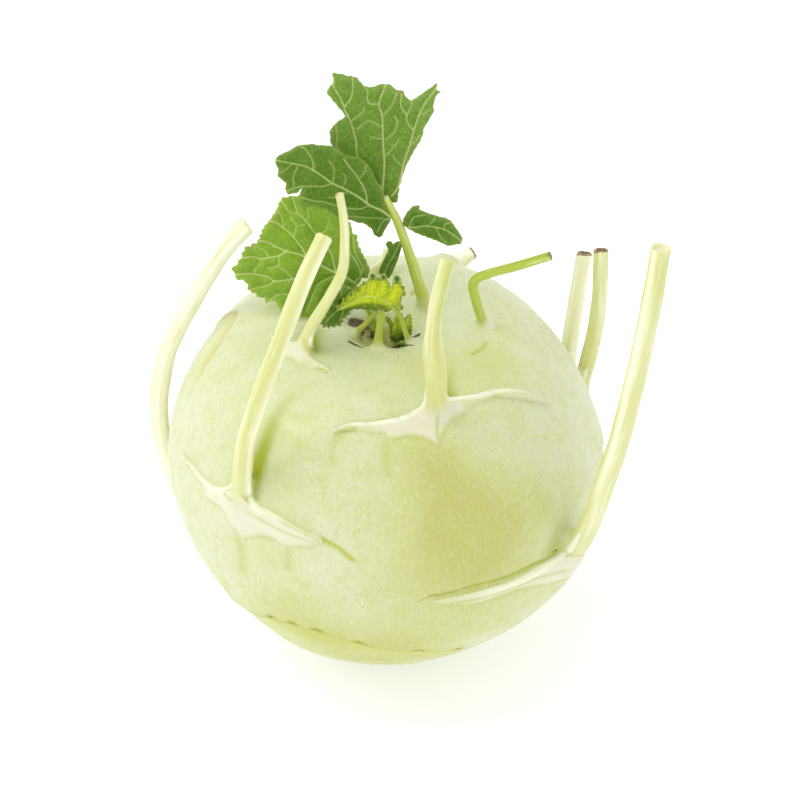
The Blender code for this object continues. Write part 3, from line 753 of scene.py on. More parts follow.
def fineness(points):
    """How many times the faces at these points are split: near marks, rims and the crown."""
    wanted = np.zeros(len(points), int)
    for limb, reach, times in [(foot, 2, 1) for foot in FEET.values()] + [(rim, 0.7, 2) for rim in RIMS]:
        rows = limb.near(points)
        raise_at(wanted, rows[limb.measure(points[rows])[0] < reach], times)
    for base in BASES.values():
        rows, uv = base.flatten(points)
        gap = line_distance(uv, base.ring)[0]
        for line, _, width in base.creases:
            gap = np.minimum(gap, line_distance(uv, line)[0] + (0.5 if width > 1 else 0))
        raise_at(wanted, rows[gap < 2.0], 1)
        raise_at(wanted, rows[gap < 0.85], 2)
    for edge in EDGES:
        rows = edge.near(points)
        raise_at(wanted, rows[line_distance(points[rows], edge.line)[0] < 2.2], 1)
    crown = np.linalg.norm(points - CROWN, axis=1)
    raise_at(wanted, crown < 15, 1)
    raise_at(wanted, crown < 9, 2)
    return wanted


def split_faces(shaped, level):
    """Splits the faces that want to be finer than this level."""
    wanted = fineness(np.array([face.calc_center_median() for face in shaped.faces]))
    edges = {edge for face, count in zip(shaped.faces, wanted) if count > level for edge in face.edges}
    bmesh.ops.subdivide_edges(shaped, edges=list(edges), cuts=1, use_grid_fill=True)


def bulb_surface():
    """The bulb's vertices and faces: a voxel mesh, refined near its marks and settled on the field."""
    counts = np.ceil((BULB_ROOM[1] - BULB_ROOM[0]) / VOXEL).astype(int)
    axes = [start + VOXEL * np.arange(count) for start, count in zip(BULB_ROOM[0], counts)]
    lattice = np.stack(np.meshgrid(*axes, indexing="ij"), axis=-1).reshape(-1, 3)
    values = bulb_field(lattice).reshape(counts).astype(np.float32)
    grid = openvdb.FloatGrid(FAR)
    grid.copyFromArray(np.clip(values, -FAR, FAR))
    points, quads = grid.convertToQuads(0.0)
    points = BULB_ROOM[0] + VOXEL * np.array(points, float)
    mesh = bpy.data.meshes.new("bulb_cage")
    mesh.from_pydata(points.tolist(), [], np.array(quads, int).tolist())
    shaped = bmesh.new()
    shaped.from_mesh(mesh)
    bpy.data.meshes.remove(mesh)
    split_faces(shaped, 0)
    split_faces(shaped, 1)
    points, faces = shape_of(shaped)
    shaped.free()
    points = settle(points)
    points[:, 2] = np.maximum(points[:, 2], 0)
    return points, faces


# What is marked on the bulb, from 0 to about 1 at each vertex, besides its crown and its grain.
BULB_MARKS = ("stem", "green", "side", "scar", "rim", "crease", "shade_and_spots", "cork", "band", "tan", "yellow")


def mark_feet(marks, points):
    """Where the stalks' feet are on the bulb, how green they are, and the painted shade round each."""
    skin = turned_body(points) - skin_relief(points)
    for name, limb in FEET.items():
        foot_radius = STALKS[name]["radii"][0]
        rows = limb.near(points)
        out, along, angle = limb.measure(points[rows])
        share = smooth_union(skin[rows], out, limb.blend)[1]
        from_surface = along - FOOT_DEPTH
        stem = smoothstep(0.3, 0.95, share) * smoothstep(-0.5, 3.2 * foot_radius, from_surface)
        keep = stem > marks["stem"][rows]
        higher = rows[keep]
        marks["green"][higher] = STALKS[name]["green"]
        marks["grain"][higher] = fibre(angle, along, limb.reach_out(along, angle))[keep]
        marks["side"][higher] = np.abs(np.sin(angle[keep])) ** 3
        marks["stem"][higher] = stem[keep]
        # Painted shade on the bulb right round the stalk's foot, fading out from it.
        shade = 0.45 * np.exp(-np.maximum(out, 0) / (0.5 + 0.2 * foot_radius))
        raise_at(marks["shade_and_spots"], rows, shade * smoothstep(-1.0, 1.5, from_surface) * (1 - share))


def bulb_marks(points):
    """What the bulb's material needs to know at each vertex."""
    marks = {name: np.zeros(len(points)) for name in BULB_MARKS}
    away = points - CORE
    turn = np.arctan2(away[:, 0], -away[:, 1])
    polar = np.arctan2(np.hypot(away[:, 0], away[:, 1]), away[:, 2])
    round_it = 40 * np.sin(polar)
    marks["grain"] = np.column_stack([np.sin(turn) * round_it, np.cos(turn) * round_it, polar * 4])
    mark_feet(marks, points)
    for base in BASES.values():
        rows, _, scar, crease = base.marks(points)
        raise_at(marks["scar"], rows, scar)
        raise_at(marks["crease"], rows, crease)
        raise_at(marks["shade_and_spots"], *base.hollow(points))
    for limb in RIMS:
        rows = limb.near(points)
        raise_at(marks["rim"], rows, bell(np.maximum(limb.measure(points[rows])[0], 0), 0.3))
    for edge in EDGES:
        rows, _, crease, spot, band, rim = edge.marks(points)
        found = dict(tan=rim, crease=crease, cork=0.3 * spot, shade_and_spots=spot, band=band)
        for title, values in found.items():
            raise_at(marks[title], rows, values)
    for line, width, _ in CORK_LINES:
        raise_at(marks["cork"], *cork_marks(points, line, width))
    marks["crown"] = np.exp(-((np.linalg.norm(points - CROWN, axis=1) / 6.5) ** 4))
    for place, strength, spread in YELLOWED:
        marks["yellow"] += strength * bell(np.linalg.norm(points - place, axis=1), spread)
    return marks


def fibre(angle, along, radius):
    """Where a point lies on a stalk, squeezed along it so that a noise drawn there runs in streaks."""
    return np.column_stack([np.cos(angle) * radius, np.sin(angle) * radius, 0.07 * along])


SIDES = 40  # of a stalk
RING_GAP = 0.8  # between its rings
# The rings of the sunken pith: their size and depth as shares of the cut's, and how much is pith.
CUT_DISH = [(0.9, 0.25, 0.7), (0.76, 0.75, 1), (0.5, 1, 1), (0.28, 0.9, 1), (0.1, 0.95, 1)]


class Tube:
    """A stalk's rings, from inside the bulb's collar to its cut end, and their marks."""

    def __init__(self, stalk):
        self.stalk = stalk
        route, self.length = full_route(stalk)
        self.total = self.length + FOOT_DEPTH
        self.count = max(12, int(self.total / RING_GAP))
        self.centres = smooth_route(route, self.count)
        self.along = lengths_along(self.centres)
        self.tangents = unit_rows(np.gradient(self.centres, axis=0))
        self.across = carried(self.tangents, inward_of(self.centres[0]))
        self.other = np.cross(self.tangents, self.across)
        self.turns = np.linspace(0, 2 * math.pi, SIDES, endpoint=False)
        self.collar = collar_length(stalk)
        seen = stalk["end"][0]
        towards = self.tangents[-1] @ FRONT
        self.tilt = (1 - seen) * towards / (1 - (1 - seen) * towards**2)
        self.vertices = []
        self.marks = {"cap": [], "brown": [], "side": [], "grain": []}

    def add_ring(self, row, scale, shift, cap):
        """A ring round a point of the route, scaled and shifted along; cap is 1 on the cut."""
        along, turns = self.along[row], self.turns
        from_surface = along - FOOT_DEPTH
        reach = stalk_reach(self.stalk, self.length, np.full(SIDES, from_surface), turns)
        hidden = smoothstep(0.75 * self.collar, 0.1 * self.collar, from_surface)
        reach = (reach - 0.1 * self.stalk["radii"][0] * hidden) * scale
        spokes = np.cos(turns)[:, None] * self.across[row] + np.sin(turns)[:, None] * self.other[row]
        ring = self.centres[row] + reach[:, None] * spokes
        near_end = smoothstep(self.total - 6, self.total, along)
        slant = self.tilt * near_end * ((ring - self.centres[row]) @ FRONT)
        self.vertices.extend(ring + (slant + shift)[:, None] * self.tangents[row])
        brown = self.stalk["end"][2]
        near_cut = smoothstep(self.total - 2.5, self.total, along) * (0.5 + 0.5 * np.sin(turns * 2 + 1))
        self.marks["cap"].extend([cap] * SIDES)
        self.marks["brown"].extend(brown * near_cut if cap == 0 else [brown] * SIDES)
        self.marks["grain"].extend(fibre(turns, np.full(SIDES, along), reach))
        self.marks["side"].extend(np.abs(np.sin(turns)) ** 3)

    def add_cut(self):
        """The rounded rim of the cut end, and the pith that has sunk inside it."""
        seen, sunk, _ = self.stalk["end"]
        tip = self.stalk["radii"][1]
        last = self.count - 1
        rough = 0.05 * np.sin(self.turns * 5 + 1) + 0.04 * np.sin(self.turns * 11)
        corner = 0.45 - 0.35 * seen
        for turn in np.radians((0, 25, 50, 75)):
            shift = rough * math.sin(turn) - corner * tip * (1 - math.sin(turn))
            self.add_ring(last, 1 - corner * (1 - math.cos(turn)), shift, 0.4 * math.sin(turn) ** 2)
        for scale, depth, cap in CUT_DISH:
            self.add_ring(last, scale * (1 - corner), rough * scale - sunk * depth * min(tip, 1.5), cap)

    def close(self):
        """A middle point at each end."""
        self.vertices += [self.centres[0], np.mean(self.vertices[-SIDES:], axis=0)]
        for title in ("cap", "brown", "side"):
            self.marks[title] += [0, self.marks[title][-1]]
        self.marks["grain"] += [self.marks["grain"][0], self.marks["grain"][-1]]


def make_stalk(name, stalk, material):
    """The piece of one stalk, whose foot hides inside the bulb's collar round it."""
    tube = Tube(stalk)
    for row in range(tube.count - 2):
        tube.add_ring(row, 1, np.zeros(SIDES), 0)
    tube.add_cut()
    faces = tube_faces(len(tube.vertices) // SIDES, SIDES)
    tube.close()
    tube.marks["stem"] = np.ones(len(tube.vertices))
    tube.marks["green"] = np.full(len(tube.vertices), stalk["green"])
    new_piece(name + "_flesh", tube.vertices, faces, material, name, stalk["slot"], tube.marks)


def tube_faces(rings, sides):
    """Quads between rings that turn outwards, and a fan to a point at each end."""
    start, end = rings * sides, rings * sides + 1
    last = (rings - 1) * sides
    faces = []
    for column in range(sides):
        following = (column + 1) % sides
        faces.append([start, following, column])
        for low in range(0, last, sides):
            high = low + sides
            faces.append([low + column, low + following, high + following, high + column])
        faces.append([end, last + column, last + following])
    return faces


# ---------------------------------------------------------------- materials


class Shader:
    """Builds a material's nodes. A method that adds a node gives its output."""

    def __init__(self, name):
        self.material = bpy.data.materials.new(name)
        self.material.use_nodes = True
        self.nodes = self.material.node_tree.nodes
        self.surface = self.nodes["Principled BSDF"]
        self.where = self.nodes.new("ShaderNodeTexCoord").outputs["Object"]

    def link(self, value, socket):
        if isinstance(value, bpy.types.NodeSocket):
            self.material.node_tree.links.new(value, socket)
        elif isinstance(value, tuple) and socket.type == "RGBA":
            socket.default_value = (*value, 1)
        else:
            socket.default_value = value

    def add(self, kind, inputs, **settings):
        """A node with these settings, whose inputs are linked or set by name or number."""
        node = self.nodes.new("ShaderNode" + kind)
        for title, setting in settings.items():
            setattr(node, title, setting)
        for title, value in inputs.items():
            self.link(value, node.inputs[title])
        return node

    def mark(self, name, kind="Fac"):
        return self.add("Attribute", {}, attribute_name=name).outputs[kind]

    def pattern(self, size, where):
        """The place and scale of a pattern: on the object in metres, or in a space of its own in mm."""
        return {"Vector": where or self.where, "Scale": 1 / size if where else 1 / (size * MM)}

    def noise(self, size, detail=2.0, where=None, roughness=0.5):
        """A noise from 0 to 1 whose blobs are about size mm across."""
        inputs = {**self.pattern(size, where), "Detail": detail, "Roughness": roughness}
        return self.add("TexNoise", inputs).outputs["Fac"]

    def cells(self, size, feature="F1", randomness=1.0):
        """The distance in a cell pattern, in cell sizes."""
        inputs = {**self.pattern(size, None), "Randomness": randomness}
        return self.add("TexVoronoi", inputs, feature=feature).outputs["Distance"]

    def maths(self, operation, first, second):
        """Two numbers taken together by one of the Math node's operations."""
        return self.add("Math", {0: first, 1: second}, operation=operation).outputs[0]

    def plus(self, first, second):
        return self.maths("ADD", first, second)

    def times(self, first, second):
        return self.maths("MULTIPLY", first, second)

    def spread(self, value, low, high, to_low=0.0, to_high=1.0):
        """value taken smoothly from low..high to to_low..to_high."""
        inputs = {"Value": value, "From Min": low, "From Max": high, "To Min": to_low, "To Max": to_high}
        return self.add("MapRange", inputs, interpolation_type="SMOOTHSTEP").outputs["Result"]

    def mix(self, share, first, second):
        node = self.add("Mix", {}, data_type="RGBA")
        colours = [socket for socket in node.inputs if socket.type == "RGBA"]
        for value, socket in zip((share, first, second), (node.inputs["Factor"], *colours)):
            self.link(value, socket)
        return [socket for socket in node.outputs if socket.type == "RGBA"][0]

    def layer(self, colour, layers):
        """A colour taken towards others in turn: each layer is (amount, limits of its spread, colour)."""
        for amount, limits, towards in layers:
            share = self.spread(amount, *limits) if limits else amount
            colour = self.mix(share, colour, towards)
        return colour

    def bump(self, height, strength, depth, onto=None):
        inputs = {"Height": height, "Strength": strength, "Distance": depth * MM}
        if onto:
            inputs["Normal"] = onto
        return self.add("Bump", inputs).outputs["Normal"]

    def finish(self, colour, roughness, normal, subsurface, radius, specular):
        inputs = {
            "Base Color": colour, "Roughness": roughness, "Normal": normal, "Subsurface Weight": subsurface,
            "Subsurface Radius": radius, "Subsurface Scale": 1.5 * MM, "Specular IOR Level": specular,
        }
        for title, value in inputs.items():
            self.link(value, self.surface.inputs[title])
        return self.material


def stalk_colour(shader, grain):
    """From cream to yellow-green by how green the stalk is, in streaks along it, paler at its sides."""
    tone = shader.plus(shader.mark("green"), shader.plus(shader.noise(2.0, 2, grain), -0.5))
    tone = shader.plus(tone, shader.times(shader.mark("side"), -0.3))
    streak = shader.noise(0.6, 3, grain)
    return shader.layer((0.97, 0.96, 0.76), [
        (tone, (-0.15, 0.4), (0.67, 0.69, 0.28)),
        (tone, (0.35, 1.0), (0.47, 0.56, 0.07)),
        (tone, (0.9, 1.5), (0.29, 0.39, 0.02)),
        (streak, (0.5, 0.75, 0, 0.45), (0.82, 0.82, 0.55)),
        (streak, (0.5, 0.25, 0, 0.3), (0.55, 0.62, 0.16)),
    ])


UPRIGHT_GRAIN = (1 / MM, 1 / MM, 0.45 / MM)  # stretches a noise upwards, and takes its size in mm


def skin_colour(shader, grain):
    """The bulb's waxy skin: pale green with whiter and more yellow clouds, fibres and tiny dots."""
    drift = shader.plus(shader.noise(20, 4, roughness=0.6), -0.46)
    yellow = shader.plus(shader.times(shader.mark("yellow"), 0.85), drift)
    tan_cloud = shader.spread(shader.noise(6, 4), 0.47, 0.62, 0, 0.35)
    wax_cloud = shader.spread(shader.noise(3.2, 6, roughness=0.75), 0.5, 0.72, 0, 0.32)
    fibres = shader.noise(0.55, 3, grain)
    upright = shader.add("VectorMath", {0: shader.where, 1: UPRIGHT_GRAIN}, operation="MULTIPLY")
    grit = shader.noise(0.5, 3, upright.outputs[0], 0.7)
    specks = shader.spread(shader.cells(2.6), 0.04, 0.085, 0.8, 0)
    return shader.layer((0.67, 0.69, 0.45), [
        (yellow, (-0.1, 0.5), (0.595, 0.615, 0.27)),
        (yellow, (0.35, 1.2), (0.51, 0.525, 0.145)),
        (shader.times(shader.spread(yellow, 0.6, 1.3), tan_cloud), (), (0.56, 0.49, 0.17)),
        (shader.noise(5, 6, roughness=0.7), (0.5, 0.7, 0, 0.42), (0.53, 0.60, 0.16)),
        (shader.times(wax_cloud, shader.spread(yellow, 0.2, 1.0, 1, 0.4)), (), (0.78, 0.79, 0.56)),
        (fibres, (0.52, 0.72, 0, 0.2), (0.78, 0.80, 0.55)),
        (fibres, (0.48, 0.28, 0, 0.14), (0.54, 0.60, 0.20)),
        (shader.noise(1.9, 3, grain), (0.5, 0.75, 0, 0.35), (0.56, 0.62, 0.2)),
        (grit, (0.52, 0.68, 0, 0.18), (0.78, 0.80, 0.50)),
        (grit, (0.48, 0.32, 0, 0.45), (0.50, 0.55, 0.13)),
        (shader.cells(0.9), (0.08, 0.25, 0.06, 0), (0.86, 0.88, 0.68)),
        (shader.times(specks, shader.spread(shader.noise(14, 1), 0.44, 0.58)), (), (0.30, 0.24, 0.06)),
    ])


# Subsurface weight and radius, and how strongly the surface reflects.
FLESH_GLOW = (0.2, (1.0, 0.85, 0.35), 0.4)
LEAF_GLOW = (0.1, (0.4, 1.0, 0.15), 0.13)


def flesh(name):
    """The bulb and its stalks' feet, which share one tissue."""
    shader = Shader(name)
    mark, noise, spread, times, plus = shader.mark, shader.noise, shader.spread, shader.times, shader.plus
    grain = mark("grain", "Vector")
    fine = noise(1.4, 4, roughness=0.65)
    ragged = plus(fine, -0.5)
    scar = shader.mix(noise(3, 3), (0.79, 0.755, 0.64), (0.72, 0.71, 0.50))
    cork = shader.mix(noise(0.45, 3), (0.018, 0.007, 0.001), (0.16, 0.085, 0.014))
    crease = times(mark("crease"), spread(fine, 0.25, 0.55, 0.5, 0.95))
    crown = times(mark("crown"), spread(noise(2.2, 4), 0.32, 0.6, 0.25, 0.95))
    rough_cork = times(mark("cork"), spread(noise(1.1, 4), 0.3, 0.6, 0.65, 1.5))
    colour = shader.layer(skin_colour(shader, grain), [
        (times(mark("band"), 0.8), (), (0.57, 0.62, 0.15)),
        (plus(mark("scar"), times(ragged, 0.7)), (0.1, 0.95, 0, 0.85), scar),
        # Painted shade: a deep green beside the stalks and round their feet. The same mark also holds the
        # dark spots on old edges.
        (plus(mark("shade_and_spots"), times(ragged, 0.15)), (0.03, 0.95, 0, 0.97), (0.35, 0.40, 0.015)),
        # Darker green along creases and edges: partly painted shade, partly the greener tissue there.
        (crease, (), (0.44, 0.50, 0.02)),
        # A darker olive green in the crown's pit under the leaves: partly painted shade, partly the tissue's
        # own colour.
        (crown, (), (0.37, 0.41, 0.03)),
        (times(mark("tan"), 0.5), (), (0.60, 0.38, 0.20)),
        (mark("stem"), (), stalk_colour(shader, grain)),
        (times(mark("rim"), 0.85), (), (0.91, 0.91, 0.74)),
        (rough_cork, (0.22, 0.6, 0, 0.95), cork),
    ])
    normal = shader.bump(noise(0.45, 3, grain), 0.25, 0.15)
    normal = shader.bump(noise(0.35, 3), 0.15, 0.08, normal)
    return shader.finish(colour, spread(noise(2.5, 3), 0.3, 0.7, 0.34, 0.5), normal, *FLESH_GLOW)


def stalk_flesh(name):
    """A stalk, with its cut end: pale pith in a greener ring, browned where it has dried."""
    shader = Shader(name)
    grain = shader.mark("grain", "Vector")
    pith = shader.mix(shader.noise(0.4, 3), (0.82, 0.80, 0.58), (0.66, 0.68, 0.36))
    dried = shader.plus(shader.mark("brown"), shader.times(shader.noise(0.9, 3), 1.1))
    colour = shader.layer(stalk_colour(shader, grain), [
        (shader.mark("cap"), (0.3, 0.8), pith),
        (dried, (1.0, 1.4, 0, 0.9), (0.20, 0.12, 0.05)),
    ])
    normal = shader.bump(shader.noise(0.45, 3, grain), 0.35, 0.15)
    normal = shader.bump(shader.noise(0.3, 3), 0.1, 0.08, normal)
    roughness = shader.spread(shader.noise(2.5, 3), 0.3, 0.7, 0.34, 0.48)
    return shader.finish(colour, roughness, normal, *FLESH_GLOW)


def leaf_skin(name, dark, pale, vein_colour, rim_colour):
    """A leaf: pale veins and a finer net between them, mottled, with a paler or darker rim."""
    shader = Shader(name)
    cloud = shader.times(shader.plus(shader.noise(5, 4, roughness=0.6), -0.5), 1.1)
    net = shader.spread(shader.cells(1.7, "DISTANCE_TO_EDGE", 0.9), 0.008, 0.05, 0.26, 0)
    net = shader.times(net, shader.noise(1.2, 2))
    # A paler bluish bloom near the margins: the leaves' wax, with a painted sheen in it.
    wax_bloom_and_sheen = shader.times(shader.mark("near_edge"), shader.spread(shader.noise(9, 2), 0.4, 0.65, 0, 0.25))
    colour = shader.layer(dark, [
        (shader.plus(shader.mark("tone"), cloud), (), pale),
        (shader.noise(0.6, 3), (0.35, 0.7, 0.4, 0), dark),
        (net, (), vein_colour),
        (shader.cells(0.7, "DISTANCE_TO_EDGE"), (0.02, 0.1, 0.05, 0), vein_colour),
        (wax_bloom_and_sheen, (), (0.25, 0.38, 0.12)),
        (shader.times(shader.mark("edge"), 0.55), (), rim_colour),
        (shader.times(shader.mark("vein"), 0.9), (), vein_colour),
    ])
    normal = shader.bump(shader.plus(shader.noise(0.9, 3), shader.times(net, -0.8)), 0.35, 0.25)
    roughness = shader.spread(shader.noise(3, 3), 0.3, 0.7, 0.42, 0.56)
    return shader.finish(colour, roughness, normal, *LEAF_GLOW)


# ---------------------------------------------------------------- leaves

# Each leaf is drawn flat, as (mm right, mm up), and then bent: bend gives how far back each point
# lies, and the blade's front bulges forwards and up. Veins are (half width, line). tone runs from
# dark 0 to pale 1. ruffle is how far the margin waves, tooth how far its teeth stand out, pitch how
# far apart they are, and puff how much the blade crinkles between its veins. A young leaf's teeth
# have rolled tips: beads is their size where they run all along the margin, and tips places them
# one by one as (mm right, mm up, size). fold gives how far a point is above a fold, under which the
# leaf turns away from the light and is darker.


def above_fold(x, z):
    """How far a point of the youngest leaf is above the arched midrib along which it is folded."""
    return z - 98.4 + 0.055 * (x + 5.5) ** 2


